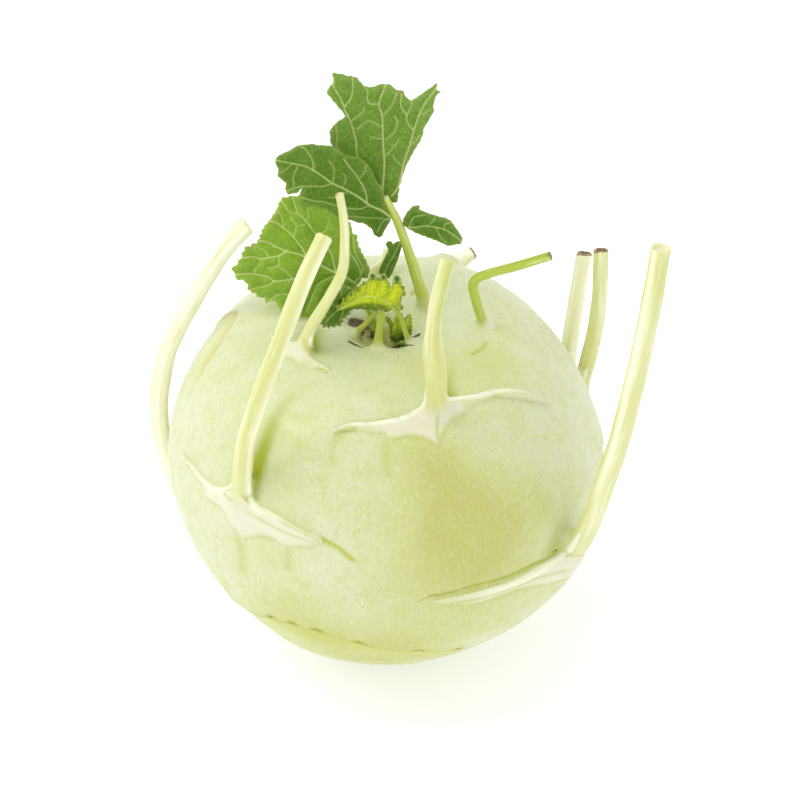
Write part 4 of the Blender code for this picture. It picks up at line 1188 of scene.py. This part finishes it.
LEAVES = {
    "tall_leaf_blade": dict(
        slot="leaf_dark", tone=0.95, ruffle=0.5, tooth=0.22, pitch=1.9, puff=0.5,
        bend=lambda x, z: 7.6 + 0.2 * (z - 116) + 0.008 * (z - 116) ** 2,
        outline=[(0.4, 113.8), (1, 118.3), (2.3, 122.6), (4.2, 126.1), (5.9, 128.7), (6.4, 130.9),
                 (8.6, 134.2), (8.4, 135.5), (9.1, 137.5), (10.2, 137.9), (9.1, 138.3), (9.3, 139.8),
                 (6.7, 138.2), (3.6, 136.3), (2.3, 137), (1.9, 138.3), (0.5, 138.3), (-1.2, 139.5),
                 (-3, 139.6), (-5.4, 138.9), (-7, 139.3), (-8.6, 140.9), (-11, 141.2), (-13.9, 141.9),
                 (-13.6, 139.9), (-15.3, 138), (-13.9, 136.5), (-11.4, 133.8), (-10.9, 133.2),
                 (-13, 132), (-14.5, 130.4), (-14.4, 128.4), (-14, 126.8), (-11.6, 124), (-6, 119.5),
                 (-3.2, 115.6)],
        veins=[(0.36, [(-0.8, 113.1), (-2.2, 115.4), (-2.8, 117), (-2.4, 122.9), (-2.7, 128.4), (-2.9, 133.3),
                       (-3.6, 135.6), (-2.7, 138.1), (-2, 139.5)]),
               (0.2, [(-3.6, 135.6), (-5.4, 135.7), (-6.2, 136.5), (-6.1, 138.1), (-7, 139.4)]),
               (0.3, [(-2.6, 117.3), (-6.3, 121.4), (-8.4, 125.1), (-8.7, 128.4), (-9.8, 132), (-10.9, 134.1),
                      (-12.2, 137), (-13.5, 138.8), (-13.8, 141)]),
               (0.22, [(-11.1, 135.2), (-9.8, 136.8), (-9.4, 138.6), (-9.4, 140.8)]),
               (0.14, [(-9.4, 132.5), (-7.2, 134.1), (-6.9, 134.9)]),
               (0.13, [(-8.5, 130.6), (-6.3, 132.2), (-4.8, 132), (-3, 131)]),
               (0.28, [(-0.8, 115.8), (0.8, 118.3), (2, 123.7), (3.2, 127.2), (4.1, 130.3), (5.3, 133.6),
                       (6.7, 136), (9.2, 138.9)]),
               (0.22, [(4.1, 130.3), (2.6, 132), (2.4, 133.6), (1.3, 135.2), (1.4, 137.8)]),
               (0.14, [(2.6, 133.6), (3.5, 135.2), (3.6, 136.2)]),
               (0.16, [(-2.9, 133.3), (-0.9, 135.2), (0.4, 137.9)]),
               (0.15, [(-2.1, 128.4), (-0.4, 129.8), (0.5, 132), (-0.2, 133.2)]),
               (0.14, [(-2.3, 124.9), (-0.4, 126.7), (0.8, 128.6)]),
               (0.12, [(-3, 128.6), (-5.4, 128.9)]),
               (0.12, [(1.4, 122.9), (0.1, 124), (-0.6, 125.4)]),
               (0.12, [(5.3, 133.6), (6.6, 133.9), (7.6, 134.6)]),
               (0.12, [(3.2, 127.2), (4.4, 128), (5.4, 129.4)]),
               (0.16, [(-12.2, 126.1), (-13, 127.2), (-12.8, 129.5), (-13.2, 131.5)])]),
    "tall_leaf_lobe_left": dict(
        slot="leaf_dark", tone=0.5, ruffle=0.5, tooth=0.2, pitch=2.1, puff=0.6,
        bend=lambda x, z: 5.8 + 0.25 * (x + 0.5) + 0.12 * (z - 111.3),
        outline=[(-0.8, 111.5), (-2.2, 114.5), (-2.7, 117.6), (-3.9, 120.5), (-5.1, 123.7), (-6.3, 125.9),
                 (-8, 127.5), (-9.8, 128.1), (-11, 128.5), (-12.1, 129.5), (-13.3, 130.6), (-14.4, 131.5),
                 (-16.2, 131.8), (-18.4, 132.5), (-21.4, 132.6), (-22.9, 131.7), (-25.5, 130.8),
                 (-26.4, 129.4), (-25.6, 127.5), (-25.8, 125.6), (-24, 123.8), (-24.2, 121.8),
                 (-23.6, 120.8), (-21.6, 120.9), (-20.4, 122), (-21.2, 120.3), (-20.8, 119.2), (-21.3, 118),
                 (-19.9, 117.2), (-17.8, 117.1), (-14.9, 115.2), (-13.4, 113.7), (-10.5, 112.3),
                 (-8.1, 111.2), (-6.3, 110.3), (-5.2, 108.9), (-4.6, 107.4), (-3.7, 106.6), (-2.8, 107.1),
                 (-2.2, 108.7), (-1.3, 109.9)],
        veins=[(0.36, [(-0.8, 111.2), (-3.1, 113.4), (-5.7, 115.2), (-8.1, 117.6), (-11.6, 120.4),
                       (-14, 122.1), (-16, 124.1), (-18, 125.9), (-20, 127.3), (-22.5, 128.3),
                       (-26, 129.6)]),
               (0.24, [(-6.2, 115.6), (-6.6, 118.6), (-8.1, 122.2), (-9.8, 125.1), (-11.3, 127.6)]),
               (0.22, [(-18, 125.9), (-18.1, 128.1), (-19.4, 131), (-20.8, 132.4)]),
               (0.2, [(-14, 122), (-16, 121.6), (-18.9, 122.1), (-21.3, 122.3), (-24, 121.8)]),
               (0.2, [(-5.7, 115.1), (-8.1, 114.6), (-11.1, 115.4), (-13.7, 116.6), (-16.1, 117.8),
                      (-17.8, 118.2), (-20.8, 119.6)]),
               (0.16, [(-22.5, 128.3), (-24.1, 126.9), (-25.4, 126.4)]),
               (0.14, [(-21.2, 127.8), (-22.4, 125), (-22.2, 122.5)]),
               (0.12, [(-13.7, 122.1), (-13.5, 125.7), (-14.6, 127.6)]),
               (0.12, [(-11.6, 120.4), (-10.9, 122.4), (-11.4, 124)]),
               (0.12, [(-10.2, 119.4), (-12.6, 118.4), (-14.8, 118.6)]),
               (0.12, [(-8.1, 122.2), (-6.8, 123.4), (-6.4, 125.2)]),
               (0.18, [(-0.8, 111.2), (-2.8, 110.5), (-4, 108)]),
               (0.12, [(-1.6, 111), (-6.3, 112.1), (-10.5, 113.2)])]),
    "tall_leaf_leaflet_right": dict(
        slot="leaf_dark", tone=0.6, ruffle=0.3, tooth=0.15, pitch=1.7, puff=0.4,
        bend=lambda x, z: 6 - 0.25 * (x - 2.2) + 0.2 * (z - 108.7),
        outline=[(2.6, 108.3), (1.7, 109), (1.7, 110), (2.2, 111.3), (3.1, 112.8), (4.1, 113.9), (5.4, 114.2),
                 (5.4, 113.2), (6.5, 112.8), (9.5, 112.2), (11.3, 112.1), (12.6, 111.5), (13.2, 110.5),
                 (14.3, 109.1), (15.1, 107.6), (14.7, 106.4), (13.4, 106), (11.9, 105.4), (10.7, 105.8),
                 (9.2, 106.3), (7.4, 106.7), (5.3, 107.2), (3.8, 107.7)],
        veins=[(0.24, [(2.1, 108.3), (4.7, 108.8), (7.1, 109.5), (10.7, 109.3), (12.8, 108.4),
                       (14.9, 106.9)]),
               (0.16, [(3.1, 108.5), (4.1, 111), (6.5, 112)]),
               (0.14, [(10.7, 109.3), (11.3, 110.7), (12.7, 111.2)]),
               (0.14, [(9.2, 109.4), (10.1, 107.4), (11.6, 106)]),
               (0.12, [(7.1, 109.5), (8.4, 110.8), (8.8, 112)])]),
    "tall_leaf_leaflet_dark": dict(
        slot="leaf_dark", tone=0.08, ruffle=0.15, tooth=0.06, pitch=1.3, puff=0.25,
        bend=lambda x, z: 5 - 0.1 * (1.5 - x) + 0.35 * np.abs(x + 1.3 - 0.45 * (z - 99.5)),
        outline=[(1.5, 105.4), (0.3, 105), (-0.5, 104.2), (-0.9, 104.9), (-1.8, 104.7), (-2.2, 103.7),
                 (-1.5, 102.7), (-2.2, 101), (-3.1, 98.8), (-3.8, 96.6), (-2.8, 95.6), (-1.4, 94.3),
                 (-0.4, 96.6), (0.4, 99), (1.1, 101.6), (1.5, 103.8)],
        veins=[(0.2, [(1.2, 105), (0.4, 103.1), (-0.8, 100.4), (-1.6, 98.8), (-2.6, 95.8)]),
               (0.12, [(-0.8, 100.4), (0.1, 100.6)]),
               (0.12, [(-1.6, 98.8), (-2.6, 98.9)])]),
    "side_leaf_blade": dict(
        slot="leaf_green", tone=0.62, ruffle=0.7, tooth=0.45, pitch=1.7, puff=0.8,
        bend=lambda x, z: -1 + 0.25 * (z - 98) + 0.9 * np.log(1 + np.exp((-x - 20) / 3)),
        outline=[(-25.1, 117), (-25.9, 115.5), (-26.4, 113.9), (-28.1, 111), (-29.5, 109), (-30.1, 107.4),
                 (-31, 105.4), (-32.7, 104.4), (-33.8, 103.6), (-34.7, 101.2), (-35.6, 99.6), (-37.1, 98),
                 (-36.2, 97.4), (-35.9, 95.7), (-34.2, 96), (-33.2, 95.1), (-33.3, 93.9), (-31.4, 93.2),
                 (-30.9, 92.4), (-29.7, 92.9), (-29.1, 91.5), (-27.4, 92.5), (-26.4, 91.4), (-25.8, 90),
                 (-20.6, 89.2), (-14.7, 89.8), (-10.4, 92.4), (-7.9, 98.9), (-6.2, 99.4), (-5.7, 100.4),
                 (-5.9, 102), (-7.1, 104.5), (-8.3, 107.2), (-8.5, 109.2), (-9.6, 109.8), (-9.8, 112.1),
                 (-10.9, 112.6), (-13, 114.4), (-14.3, 115.9), (-17, 117.2), (-21.1, 118)],
        veins=[(0.4, [(-8.6, 97.8), (-11.1, 99.4), (-13.5, 100.5), (-15.8, 101.6), (-19.7, 103.5),
                      (-21.8, 104.3), (-24.4, 104.6), (-26.9, 105.3), (-28.4, 105.9), (-31, 106)]),
               (0.28, [(-19.9, 103.6), (-20.7, 105.5), (-22, 107.2), (-23.4, 108.8), (-25, 109.9),
                       (-26.4, 110.8), (-28.3, 111)]),
               (0.16, [(-25, 109.9), (-25.1, 111.4), (-25.6, 112.9), (-26.6, 114)]),
               (0.26, [(-13.3, 100.5), (-14.5, 105.2), (-16.2, 107.4), (-17.5, 108.9), (-19.8, 112.1),
                       (-21.5, 113.6), (-22.1, 114.9), (-22.9, 117.6)]),
               (0.16, [(-21.5, 113.6), (-23.2, 113.7), (-24.2, 114.4), (-25.2, 116.2)]),
               (0.14, [(-19.8, 112.1), (-19.3, 113.2), (-19.6, 116)]),
               (0.26, [(-9, 98.4), (-7.7, 99.9), (-8.5, 102.6), (-10.4, 105.7), (-11.6, 109.4),
                       (-12.4, 113.4)]),
               (0.2, [(-7.7, 99.9), (-7.3, 101.9), (-9, 105.3), (-9.4, 108.9)]),
               (0.26, [(-24.4, 104.5), (-26.1, 103.2), (-28.3, 102.4), (-30, 101.8), (-32, 101.9),
                       (-34.9, 101)]),
               (0.15, [(-30, 101.8), (-30.7, 100.1), (-31.7, 98.8), (-31.6, 97.9)]),
               (0.26, [(-17.7, 102.2), (-21.5, 98.9), (-23.2, 98.2), (-25.3, 97.5), (-27.3, 97.1),
                       (-28.6, 97.8), (-31.8, 97.9), (-34.4, 97.4), (-36.4, 96.8)]),
               (0.2, [(-13.9, 99.6), (-15.8, 98.7), (-17.6, 97.2), (-18.5, 94.9), (-20, 91)]),
               (0.18, [(-11.6, 98.6), (-13.9, 97.6), (-15.4, 96.2), (-15.9, 92)]),
               (0.15, [(-26.1, 103.1), (-26.4, 100.9), (-28.8, 99.8)]),
               (0.15, [(-26.4, 100.7), (-24.9, 100), (-23.2, 98.5)]),
               (0.18, [(-27.1, 97.1), (-28.8, 95.7), (-32.6, 94.2)]),
               (0.16, [(-21.5, 98.9), (-23.6, 94.8), (-26.2, 94.1), (-28.2, 92.4)]),
               (0.13, [(-22.6, 108.2), (-22.1, 110.7), (-23.2, 112.6)]),
               (0.13, [(-22.1, 110.7), (-20.2, 111.2)]),
               (0.13, [(-17.5, 108.9), (-15.4, 110.4), (-14.6, 113)]),
               (0.13, [(-28.3, 102.4), (-29.6, 104), (-31.6, 104.4)])]),
    "young_leaf_dark": dict(
        slot="leaf_dark", tone=0.7, ruffle=1.0, tooth=0.7, pitch=1.2, puff=0.6, beads=0.28,
        bend=lambda x, z: -6.4 + 0.25 * (x + 12),
        outline=[(-15.7, 97.4), (-15.6, 93.8), (-16.8, 92.3), (-16.2, 90.6), (-14.6, 90.2), (-12.2, 90.3),
                 (-11.6, 92), (-10.4, 92.8), (-9.6, 94.3), (-8.4, 95.1), (-7.4, 96.1), (-8.4, 96.8),
                 (-9.7, 98), (-9.5, 99.6), (-10.5, 100.9), (-11.9, 101.3)],
        veins=[(0.2, [(-8.6, 96.2), (-11, 95.6), (-13.4, 94.2), (-15.8, 91.6)]),
               (0.14, [(-11, 95.6), (-12, 98.2), (-11.8, 100.6)]),
               (0.13, [(-12.6, 94.8), (-13.9, 96.4), (-15, 96.8)]),
               (0.13, [(-11.4, 95.4), (-11.8, 93.4), (-12.6, 91.4)])]),
    "young_leaf_yellow": dict(
        slot="leaf_young", tone=1.3, ruffle=1.6, tooth=0.5, pitch=1.35, puff=1.9,
        bend=lambda x, z: -9 + 0.7 * np.sqrt(above_fold(x, z) ** 2 + 0.25), fold=above_fold,
        tips=[(-4.8, 103.9, 0.95), (-2.4, 103.8, 0.85), (0.9, 102.7, 1.05), (-8.6, 101.3, 0.45),
              (-10.2, 100, 0.5), (-11.6, 98.5, 0.45), (-12.7, 97, 0.45), (-7.1, 102.4, 0.4),
              (2.2, 99.3, 0.45), (1.3, 98.1, 0.35), (2.1, 96.5, 0.5), (1.9, 100.5, 0.4)],
        outline=[(-13.1, 95.9), (-12.5, 97.1), (-11.6, 98.2), (-10.9, 99.1), (-9.9, 100.1), (-8.3, 101.1),
                 (-7.1, 102.2), (-5.8, 102.6), (-4.8, 103.7), (-3.5, 102.7), (-2.4, 103.5), (-1.4, 101.8),
                 (-0.9, 100.9), (-0.1, 102), (1, 102.1), (1.6, 100.6), (2.3, 99.3), (1, 98), (2, 96.4),
                 (-0.2, 96.8), (-2.2, 93.5), (-4.2, 93.5), (-6, 95), (-8.6, 95.6), (-10.5, 96.4)],
        veins=[(0.3, [(-13.3, 95.8), (-10.5, 97.5), (-8.5, 98.8), (-6.6, 99.6), (-4.6, 99.4), (-2.6, 98.7),
                      (-0.6, 97.5), (0.8, 96.8)]),
               (0.15, [(-8.5, 98.8), (-8.6, 99.8), (-8.4, 101)]),
               (0.15, [(-6.6, 99.6), (-6.2, 101), (-5.6, 102.4)]),
               (0.15, [(-4.6, 99.4), (-3.6, 101), (-3.2, 102.6)]),
               (0.15, [(-2.6, 98.7), (-1.4, 99.8), (-0.8, 100.8)]),
               (0.15, [(-7.6, 99.2), (-7, 97.6), (-6.6, 96)]),
               (0.15, [(-5, 99.5), (-4.2, 97), (-3.6, 94.6)]),
               (0.15, [(-2, 98.4), (-1.6, 97), (-1.2, 95.6)])]),
}
LEAF_THICKNESS = 0.35
LEAF_GRAIN = 0.27  # how far apart a leaf's vertices are


def round_corners(ring):
    """A closed line with its corners cut at a part of each side."""
    following = np.roll(ring, -1, axis=0)
    return np.stack([0.86 * ring + 0.14 * following, 0.14 * ring + 0.86 * following], axis=1).reshape(-1, 2)


def margin(outline, tooth, pitch, seed):
    """A leaf's outline with its teeth, as evenly spaced points."""
    ring = round_corners(round_corners(np.array(outline, float)))
    closed = np.vstack([ring, ring[:1]])
    length = lengths_along(closed)
    places = np.linspace(0, length[-1], int(length[-1] / (0.8 * LEAF_GRAIN)), endpoint=False)
    line = np.column_stack([np.interp(places, length, column) for column in closed.T])
    ahead = np.roll(line, -2, axis=0) - np.roll(line, 2, axis=0)
    out = unit_rows(np.column_stack([ahead[:, 1], -ahead[:, 0]]))
    if inside(line + 0.05 * out, line).mean() > 0.5:
        out = -out
    drift = waves(np.column_stack([line, np.zeros(len(line))]), 6, seed)
    beat = (places / pitch + 0.6 * drift) % 1
    saw = np.where(beat < 0.7, beat / 0.7, (1 - beat) / 0.3)
    size = 0.5 + 0.5 * np.clip(drift + 0.5, 0, 1.4)
    return line + (tooth * size * (saw - 0.45))[:, None] * out


def filled(edge):
    """A flat leaf's points and triangles: its margin, and an even triangular grid inside it."""
    low, high = edge.min(0), edge.max(0)
    step = LEAF_GRAIN * np.array([1, 0.866])
    columns, lines = np.ceil((high - low) / step).astype(int)
    grid = np.array([(c + 0.5 * (r % 2), r) for r in range(lines) for c in range(columns)]) * step + low
    grid = grid[inside(grid, edge)]
    grid = grid[line_distance(grid, np.vstack([edge, edge[:1]]))[0] > 0.45 * LEAF_GRAIN]
    points = np.vstack([edge, grid]).tolist()
    links = [(k, (k + 1) % len(edge)) for k in range(len(edge))]
    flat, _, faces, *_ = delaunay_2d_cdt(points, links, [], 1, 1e-5)
    return np.array([tuple(point) for point in flat]), faces


def leaf_shape(outline, veins, ruffle, tooth, pitch, puff, seed):
    """A flat leaf's points and triangles, its height in front and behind, and its marks."""
    edge = margin(outline, tooth, pitch, seed)
    flat, faces = filled(edge)
    to_margin = line_distance(flat, np.vstack([edge, edge[:1]]))[0]
    vein, ridge = np.zeros((2, len(flat)))
    to_vein = np.full(len(flat), 3.0)
    for half, line in veins:
        curve = smooth_route([(*point, 0) for point in line], 10 * len(line))[:, :2]
        gap, along = line_distance(flat, curve)
        taper = half * (1 - 0.55 * along / lengths_along(curve)[-1])
        vein = np.maximum(vein, bell(gap, np.maximum(0.6 * taper, 0.12)) * min(1, 0.15 + 3.2 * half))
        ridge = np.maximum(ridge, half * bell(gap, 1.6 * half))
        to_vein = np.minimum(to_vein, gap + (0.5 if half < 0.15 else 0))
    spot = np.column_stack([flat, np.full(len(flat), 7.0 * seed)])
    dome = puff * (1 - np.exp(-to_vein / 1.3)) * smoothstep(0, 1.2, to_margin)
    crinkle = 0.16 * puff * waves(spot, 1.9, seed + 1) + 0.3 * puff * waves(spot, 5, seed + 4)
    wave = ruffle * waves(spot, 5.5, seed + 2) * np.exp(-to_margin / 2.2)
    middle = dome + crinkle + wave
    front = middle - 0.55 * ridge
    back = np.where(to_margin < 0.01, front - 0.22, middle - LEAF_THICKNESS - 1.4 * ridge)
    marks = dict(vein=vein, edge=np.exp(-to_margin / 0.45), near_edge=np.exp(-to_margin / 2.0))
    return flat, faces, front, back, marks


def leaf_faces(faces, count):
    """Front faces, back faces and the strip between them, all turned outwards."""
    sides = {side for face in faces for side in zip(face, face[1:] + face[:1])}
    open_sides = sorted((a, b) for a, b in sides if (b, a) not in sides)
    back = [[vertex + count for vertex in reversed(face)] for face in faces]
    strip = [[b, a, a + count, b + count] for a, b in open_sides]
    return [list(face) for face in faces] + back + strip


def rolled_tip(centre, size, shape, seed):
    """A rolled tip's vertices, and how pale each is: a painted highlight on its rim and top, round a dark
    middle.
    """
    random = np.random.default_rng(seed)
    stretch = size * np.array([1, random.uniform(0.6, 0.9), 1.25])
    rough = 1 + 0.14 * waves(shape * 3, 2.4, seed)
    pale = smoothstep(0.85, 0.55, shape @ FRONT) * smoothstep(-0.6, 0.1, shape[:, 2])
    return centre + shape * stretch * rough[:, None], pale


def tip_places(edge_points, size, pitch, tips, seed):
    """(place, size) of each rolled tip: at the given tips, or else all along the margin."""
    if tips:
        rows = [np.argmin(np.hypot(edge_points[:, 0] - x, edge_points[:, 2] - z)) for x, z, _ in tips]
        return [(edge_points[row], tip[2]) for row, tip in zip(rows, tips)]
    random = np.random.default_rng(seed)
    travelled = lengths_along(edge_points)
    steps = np.cumsum(pitch * random.uniform(0.7, 1.3, int(travelled[-1] / pitch)))
    rows = np.minimum(np.searchsorted(travelled, steps), len(edge_points) - 1)
    return [(edge_points[row], size * random.uniform(0.6, 1.15)) for row in rows]


def with_tips(vertices, faces, marks, edge_points, places, seed):
    """A leaf's vertices, faces and marks with its rolled tips added."""
    ball = bmesh.new()
    bmesh.ops.create_icosphere(ball, subdivisions=2, radius=1)
    shape, shape_faces = shape_of(ball)
    ball.free()
    for number, (place, reach) in enumerate(places):
        inward = unit(edge_points.mean(0) - place)
        centre = place + reach * (0.3 * FRONT + 0.7 * inward)
        points, pale = rolled_tip(centre, reach, shape, seed + number)
        faces = faces + moved_on(shape_faces, len(vertices))
        vertices = np.vstack([vertices, points])
        shades = dict(vein=0.8 * pale, edge=1.5 * (1 - pale), near_edge=0 * pale, tone=0 * pale)
        marks = {title: np.concatenate([values, shades[title]]) for title, values in marks.items()}
    return vertices, faces, marks


def make_leaf(name, leaf, material, seed):
    """The piece of one leaf of the LEAVES."""
    leaf = dict(leaf)
    beads, tips, fold = leaf.pop("beads", 0), leaf.pop("tips", []), leaf.pop("fold", None)
    slot, tone, bend = leaf.pop("slot"), leaf.pop("tone"), leaf.pop("bend")
    flat, faces, front, back, marks = leaf_shape(seed=seed, **leaf)
    blade = np.column_stack([flat[:, 0], bend(*flat.T), flat[:, 1]])
    vertices = np.vstack([blade + height[:, None] * FRONT for height in (front, back)])
    from_base = np.linalg.norm(flat - leaf["veins"][0][1][0], axis=1)
    # Darker towards the leaf's base: painted shade.
    marks["tone"] = tone - 0.8 * np.exp(-from_base / 11)
    if fold:
        marks["tone"] = marks["tone"] - 0.8 * smoothstep(0.3, -0.9, fold(*flat.T))
    edge_points = vertices[: len(flat)][marks["edge"] > 0.999]
    marks = {title: np.tile(values, 2) for title, values in marks.items()}
    faces = leaf_faces(faces, len(flat))
    if beads or tips:
        places = tip_places(edge_points, beads, leaf["pitch"], tips, seed)
        vertices, faces, marks = with_tips(vertices, faces, marks, edge_points, places, seed)
    new_piece(name + "_leaf", vertices, faces, material, name, slot, marks)


def small_leaf(base, way, side, length, width, curl, seed):
    """A young leaf's vertices, faces and marks: a pointed blade that curls over as it grows."""
    spread = np.linspace(0, 1, 9)
    half = width * np.sin(np.pi * (0.08 + 0.84 * spread)) ** 0.7 * (1 - 0.3 * spread)
    right = np.column_stack([half, length * spread])
    ring = np.vstack([right, right[::-1] * (-1, 1)])
    veins = [(0.16, [(0, 0), (0.02, 0.5 * length), (0, length)])]
    crumple = dict(ruffle=1.3, tooth=0.9, pitch=1.0, puff=0.9)
    flat, faces, front, back, marks = leaf_shape(ring, veins, **crumple, seed=seed)
    way, side = unit(np.array(way)), unit(np.array(side))
    face = unit(np.cross(side, way))
    turn = curl * flat[:, 1] / length
    bow = length / curl
    sheets = []
    for height in (front, back):
        rise = (bow - height) * np.sin(turn)
        fold = bow - (bow - height) * np.cos(turn) + 0.25 * np.abs(flat[:, 0])
        sheets.append(base + flat[:, :1] * side + rise[:, None] * way + fold[:, None] * face)
    marks = {title: np.tile(values, 2) for title, values in marks.items()}
    return np.vstack(sheets), leaf_faces(faces, len(flat)), marks


# The leaflets at the growing point, as (base, way it grows, its right side, length, half width, curl).
HEART = [
    ((0.3, -6.2, 84.8), (0.06, 0, 1), (1, 0.1, 0), 9.4, 2.0, 0.35),
    ((1.4, -5.8, 84.8), (0.12, 0.05, 1), (0.9, 0.5, 0), 8.4, 1.5, 0.5),
    ((-0.7, -5.6, 84.6), (0, 0.05, 1), (0.9, -0.5, 0), 8.2, 1.4, 0.5),
    ((0.7, -7, 84.8), (0.05, -0.1, 1), (1, 0.2, 0.1), 5.4, 1.2, 0.9),
]


def make_heart(name, material):
    """The leaflets at the growing point, in one piece."""
    vertices, faces, marks = [], [], {"vein": [], "edge": [], "near_edge": []}
    for seed, leaflet in enumerate(HEART, 60):
        points, triangles, found = small_leaf(*leaflet, seed)
        faces.extend(moved_on(triangles, len(vertices)))
        vertices.extend(points)
        for title in marks:
            marks[title].extend(found[title])
    # Darker lower down, deep in the crown: painted shade.
    marks["tone"] = smoothstep(86.5, 92.5, np.array(vertices)[:, 2])
    new_piece(name + "_leaf", vertices, faces, material, name, "leaf_young", marks)


# ---------------------------------------------------------------- floor, light and camera

CAMERA_DISTANCE = 800.0
AIM = np.array([1.06, 0, 63.5])  # the camera looks at this point
SENSOR_WIDTH = 36.0
LENS = 156.24
CLIP_END = 20  # metres
BULB_MIDDLE = (0, 0, 0.06)
WHITE = (1, 1, 1)


def add_camera():
    data = bpy.data.cameras.new("camera")
    data.sensor_width = SENSOR_WIDTH
    data.lens = LENS
    data.clip_end = CLIP_END
    camera = add_object("camera", data)
    camera.location = (AIM + CAMERA_DISTANCE * FRONT) * MM
    camera.rotation_euler = (math.pi / 2 - SEEN_FROM, 0, 0)
    bpy.context.scene.camera = camera


def add_light(name, place, size, watts):
    """A round soft light that faces the bulb's middle."""
    data = bpy.data.lights.new(name, "AREA")
    data.shape = "DISK"
    data.size = size
    data.energy = watts
    light = add_object(name, data)
    light.location = place
    away = light.location - mathutils.Vector(BULB_MIDDLE)
    light.rotation_euler = away.to_track_quat("Z", "Y").to_euler()


def add_world(strength):
    """An even white light from all sides."""
    world = bpy.data.worlds.new("studio")
    world.use_nodes = True
    background = world.node_tree.nodes["Background"].inputs
    background["Color"].default_value = (*WHITE, 1)
    background["Strength"].default_value = strength
    bpy.context.scene.world = world


def add_floor(reach=3, glow=0.42):
    """A wide pale floor with a faint mottle, lit a little from below like a light table."""
    shader = Shader("floor_paper")
    colour = shader.mix(shader.noise(40, 2), (0.70, 0.70, 0.72), (0.71, 0.71, 0.73))
    material = shader.finish(colour, 0.8, shader.bump(shader.noise(2, 2), 0.05, 0.02), 0, WHITE, 0.1)
    shader.link(WHITE, shader.surface.inputs["Emission Color"])
    shader.link(glow, shader.surface.inputs["Emission Strength"])
    corners = [(-reach, -reach, 0), (reach, -reach, 0), (reach, reach, 0), (-reach, reach, 0)]
    mesh = bpy.data.meshes.new("floor")
    mesh.from_pydata(corners, [], [(0, 1, 2, 3)])
    mesh.materials.append(material)
    add_object("floor", mesh)


# ---------------------------------------------------------------- the whole scene

# Each leaf's colours: dark, pale, veins and rim.
LEAF_COLOURS = {
    "leaf_dark": [(0.06, 0.15, 0.004), (0.17, 0.295, 0.035), (0.62, 0.7, 0.27), (0.3, 0.38, 0.08)],
    "leaf_green": [(0.13, 0.25, 0.012), (0.30, 0.45, 0.03), (0.66, 0.74, 0.3), (0.45, 0.55, 0.12)],
    "leaf_young": [(0.14, 0.25, 0.006), (0.66, 0.73, 0.014), (0.66, 0.75, 0.2), (0.04, 0.12, 0.04)],
}

add_camera()
add_world(0.99)
add_light("key", place=(-0.8, -0.15, 1.3), size=0.9, watts=6.5)
add_floor()
bpy.context.scene.view_settings.view_transform = "Standard"

skin, skin_faces = bulb_surface()
new_piece("bulb_flesh", skin, skin_faces, flesh("bulb_skin"), "bulb", "bulb_skin", bulb_marks(skin))
tissues = {name: stalk_flesh(name) for name in ("stalk_cream", "stalk_pale", "stalk_green")}
for stalk_name, stalk_parts in STALKS.items():
    make_stalk(stalk_name, stalk_parts, tissues[stalk_parts["slot"]])
leaf_skins = {name: leaf_skin(name, *colours) for name, colours in LEAF_COLOURS.items()}
for leaf_seed, (leaf_name, leaf_parts) in enumerate(LEAVES.items(), 20):
    make_leaf(leaf_name, leaf_parts, leaf_skins[leaf_parts["slot"]], leaf_seed)
make_heart("heart_leaves", leaf_skins["leaf_young"])
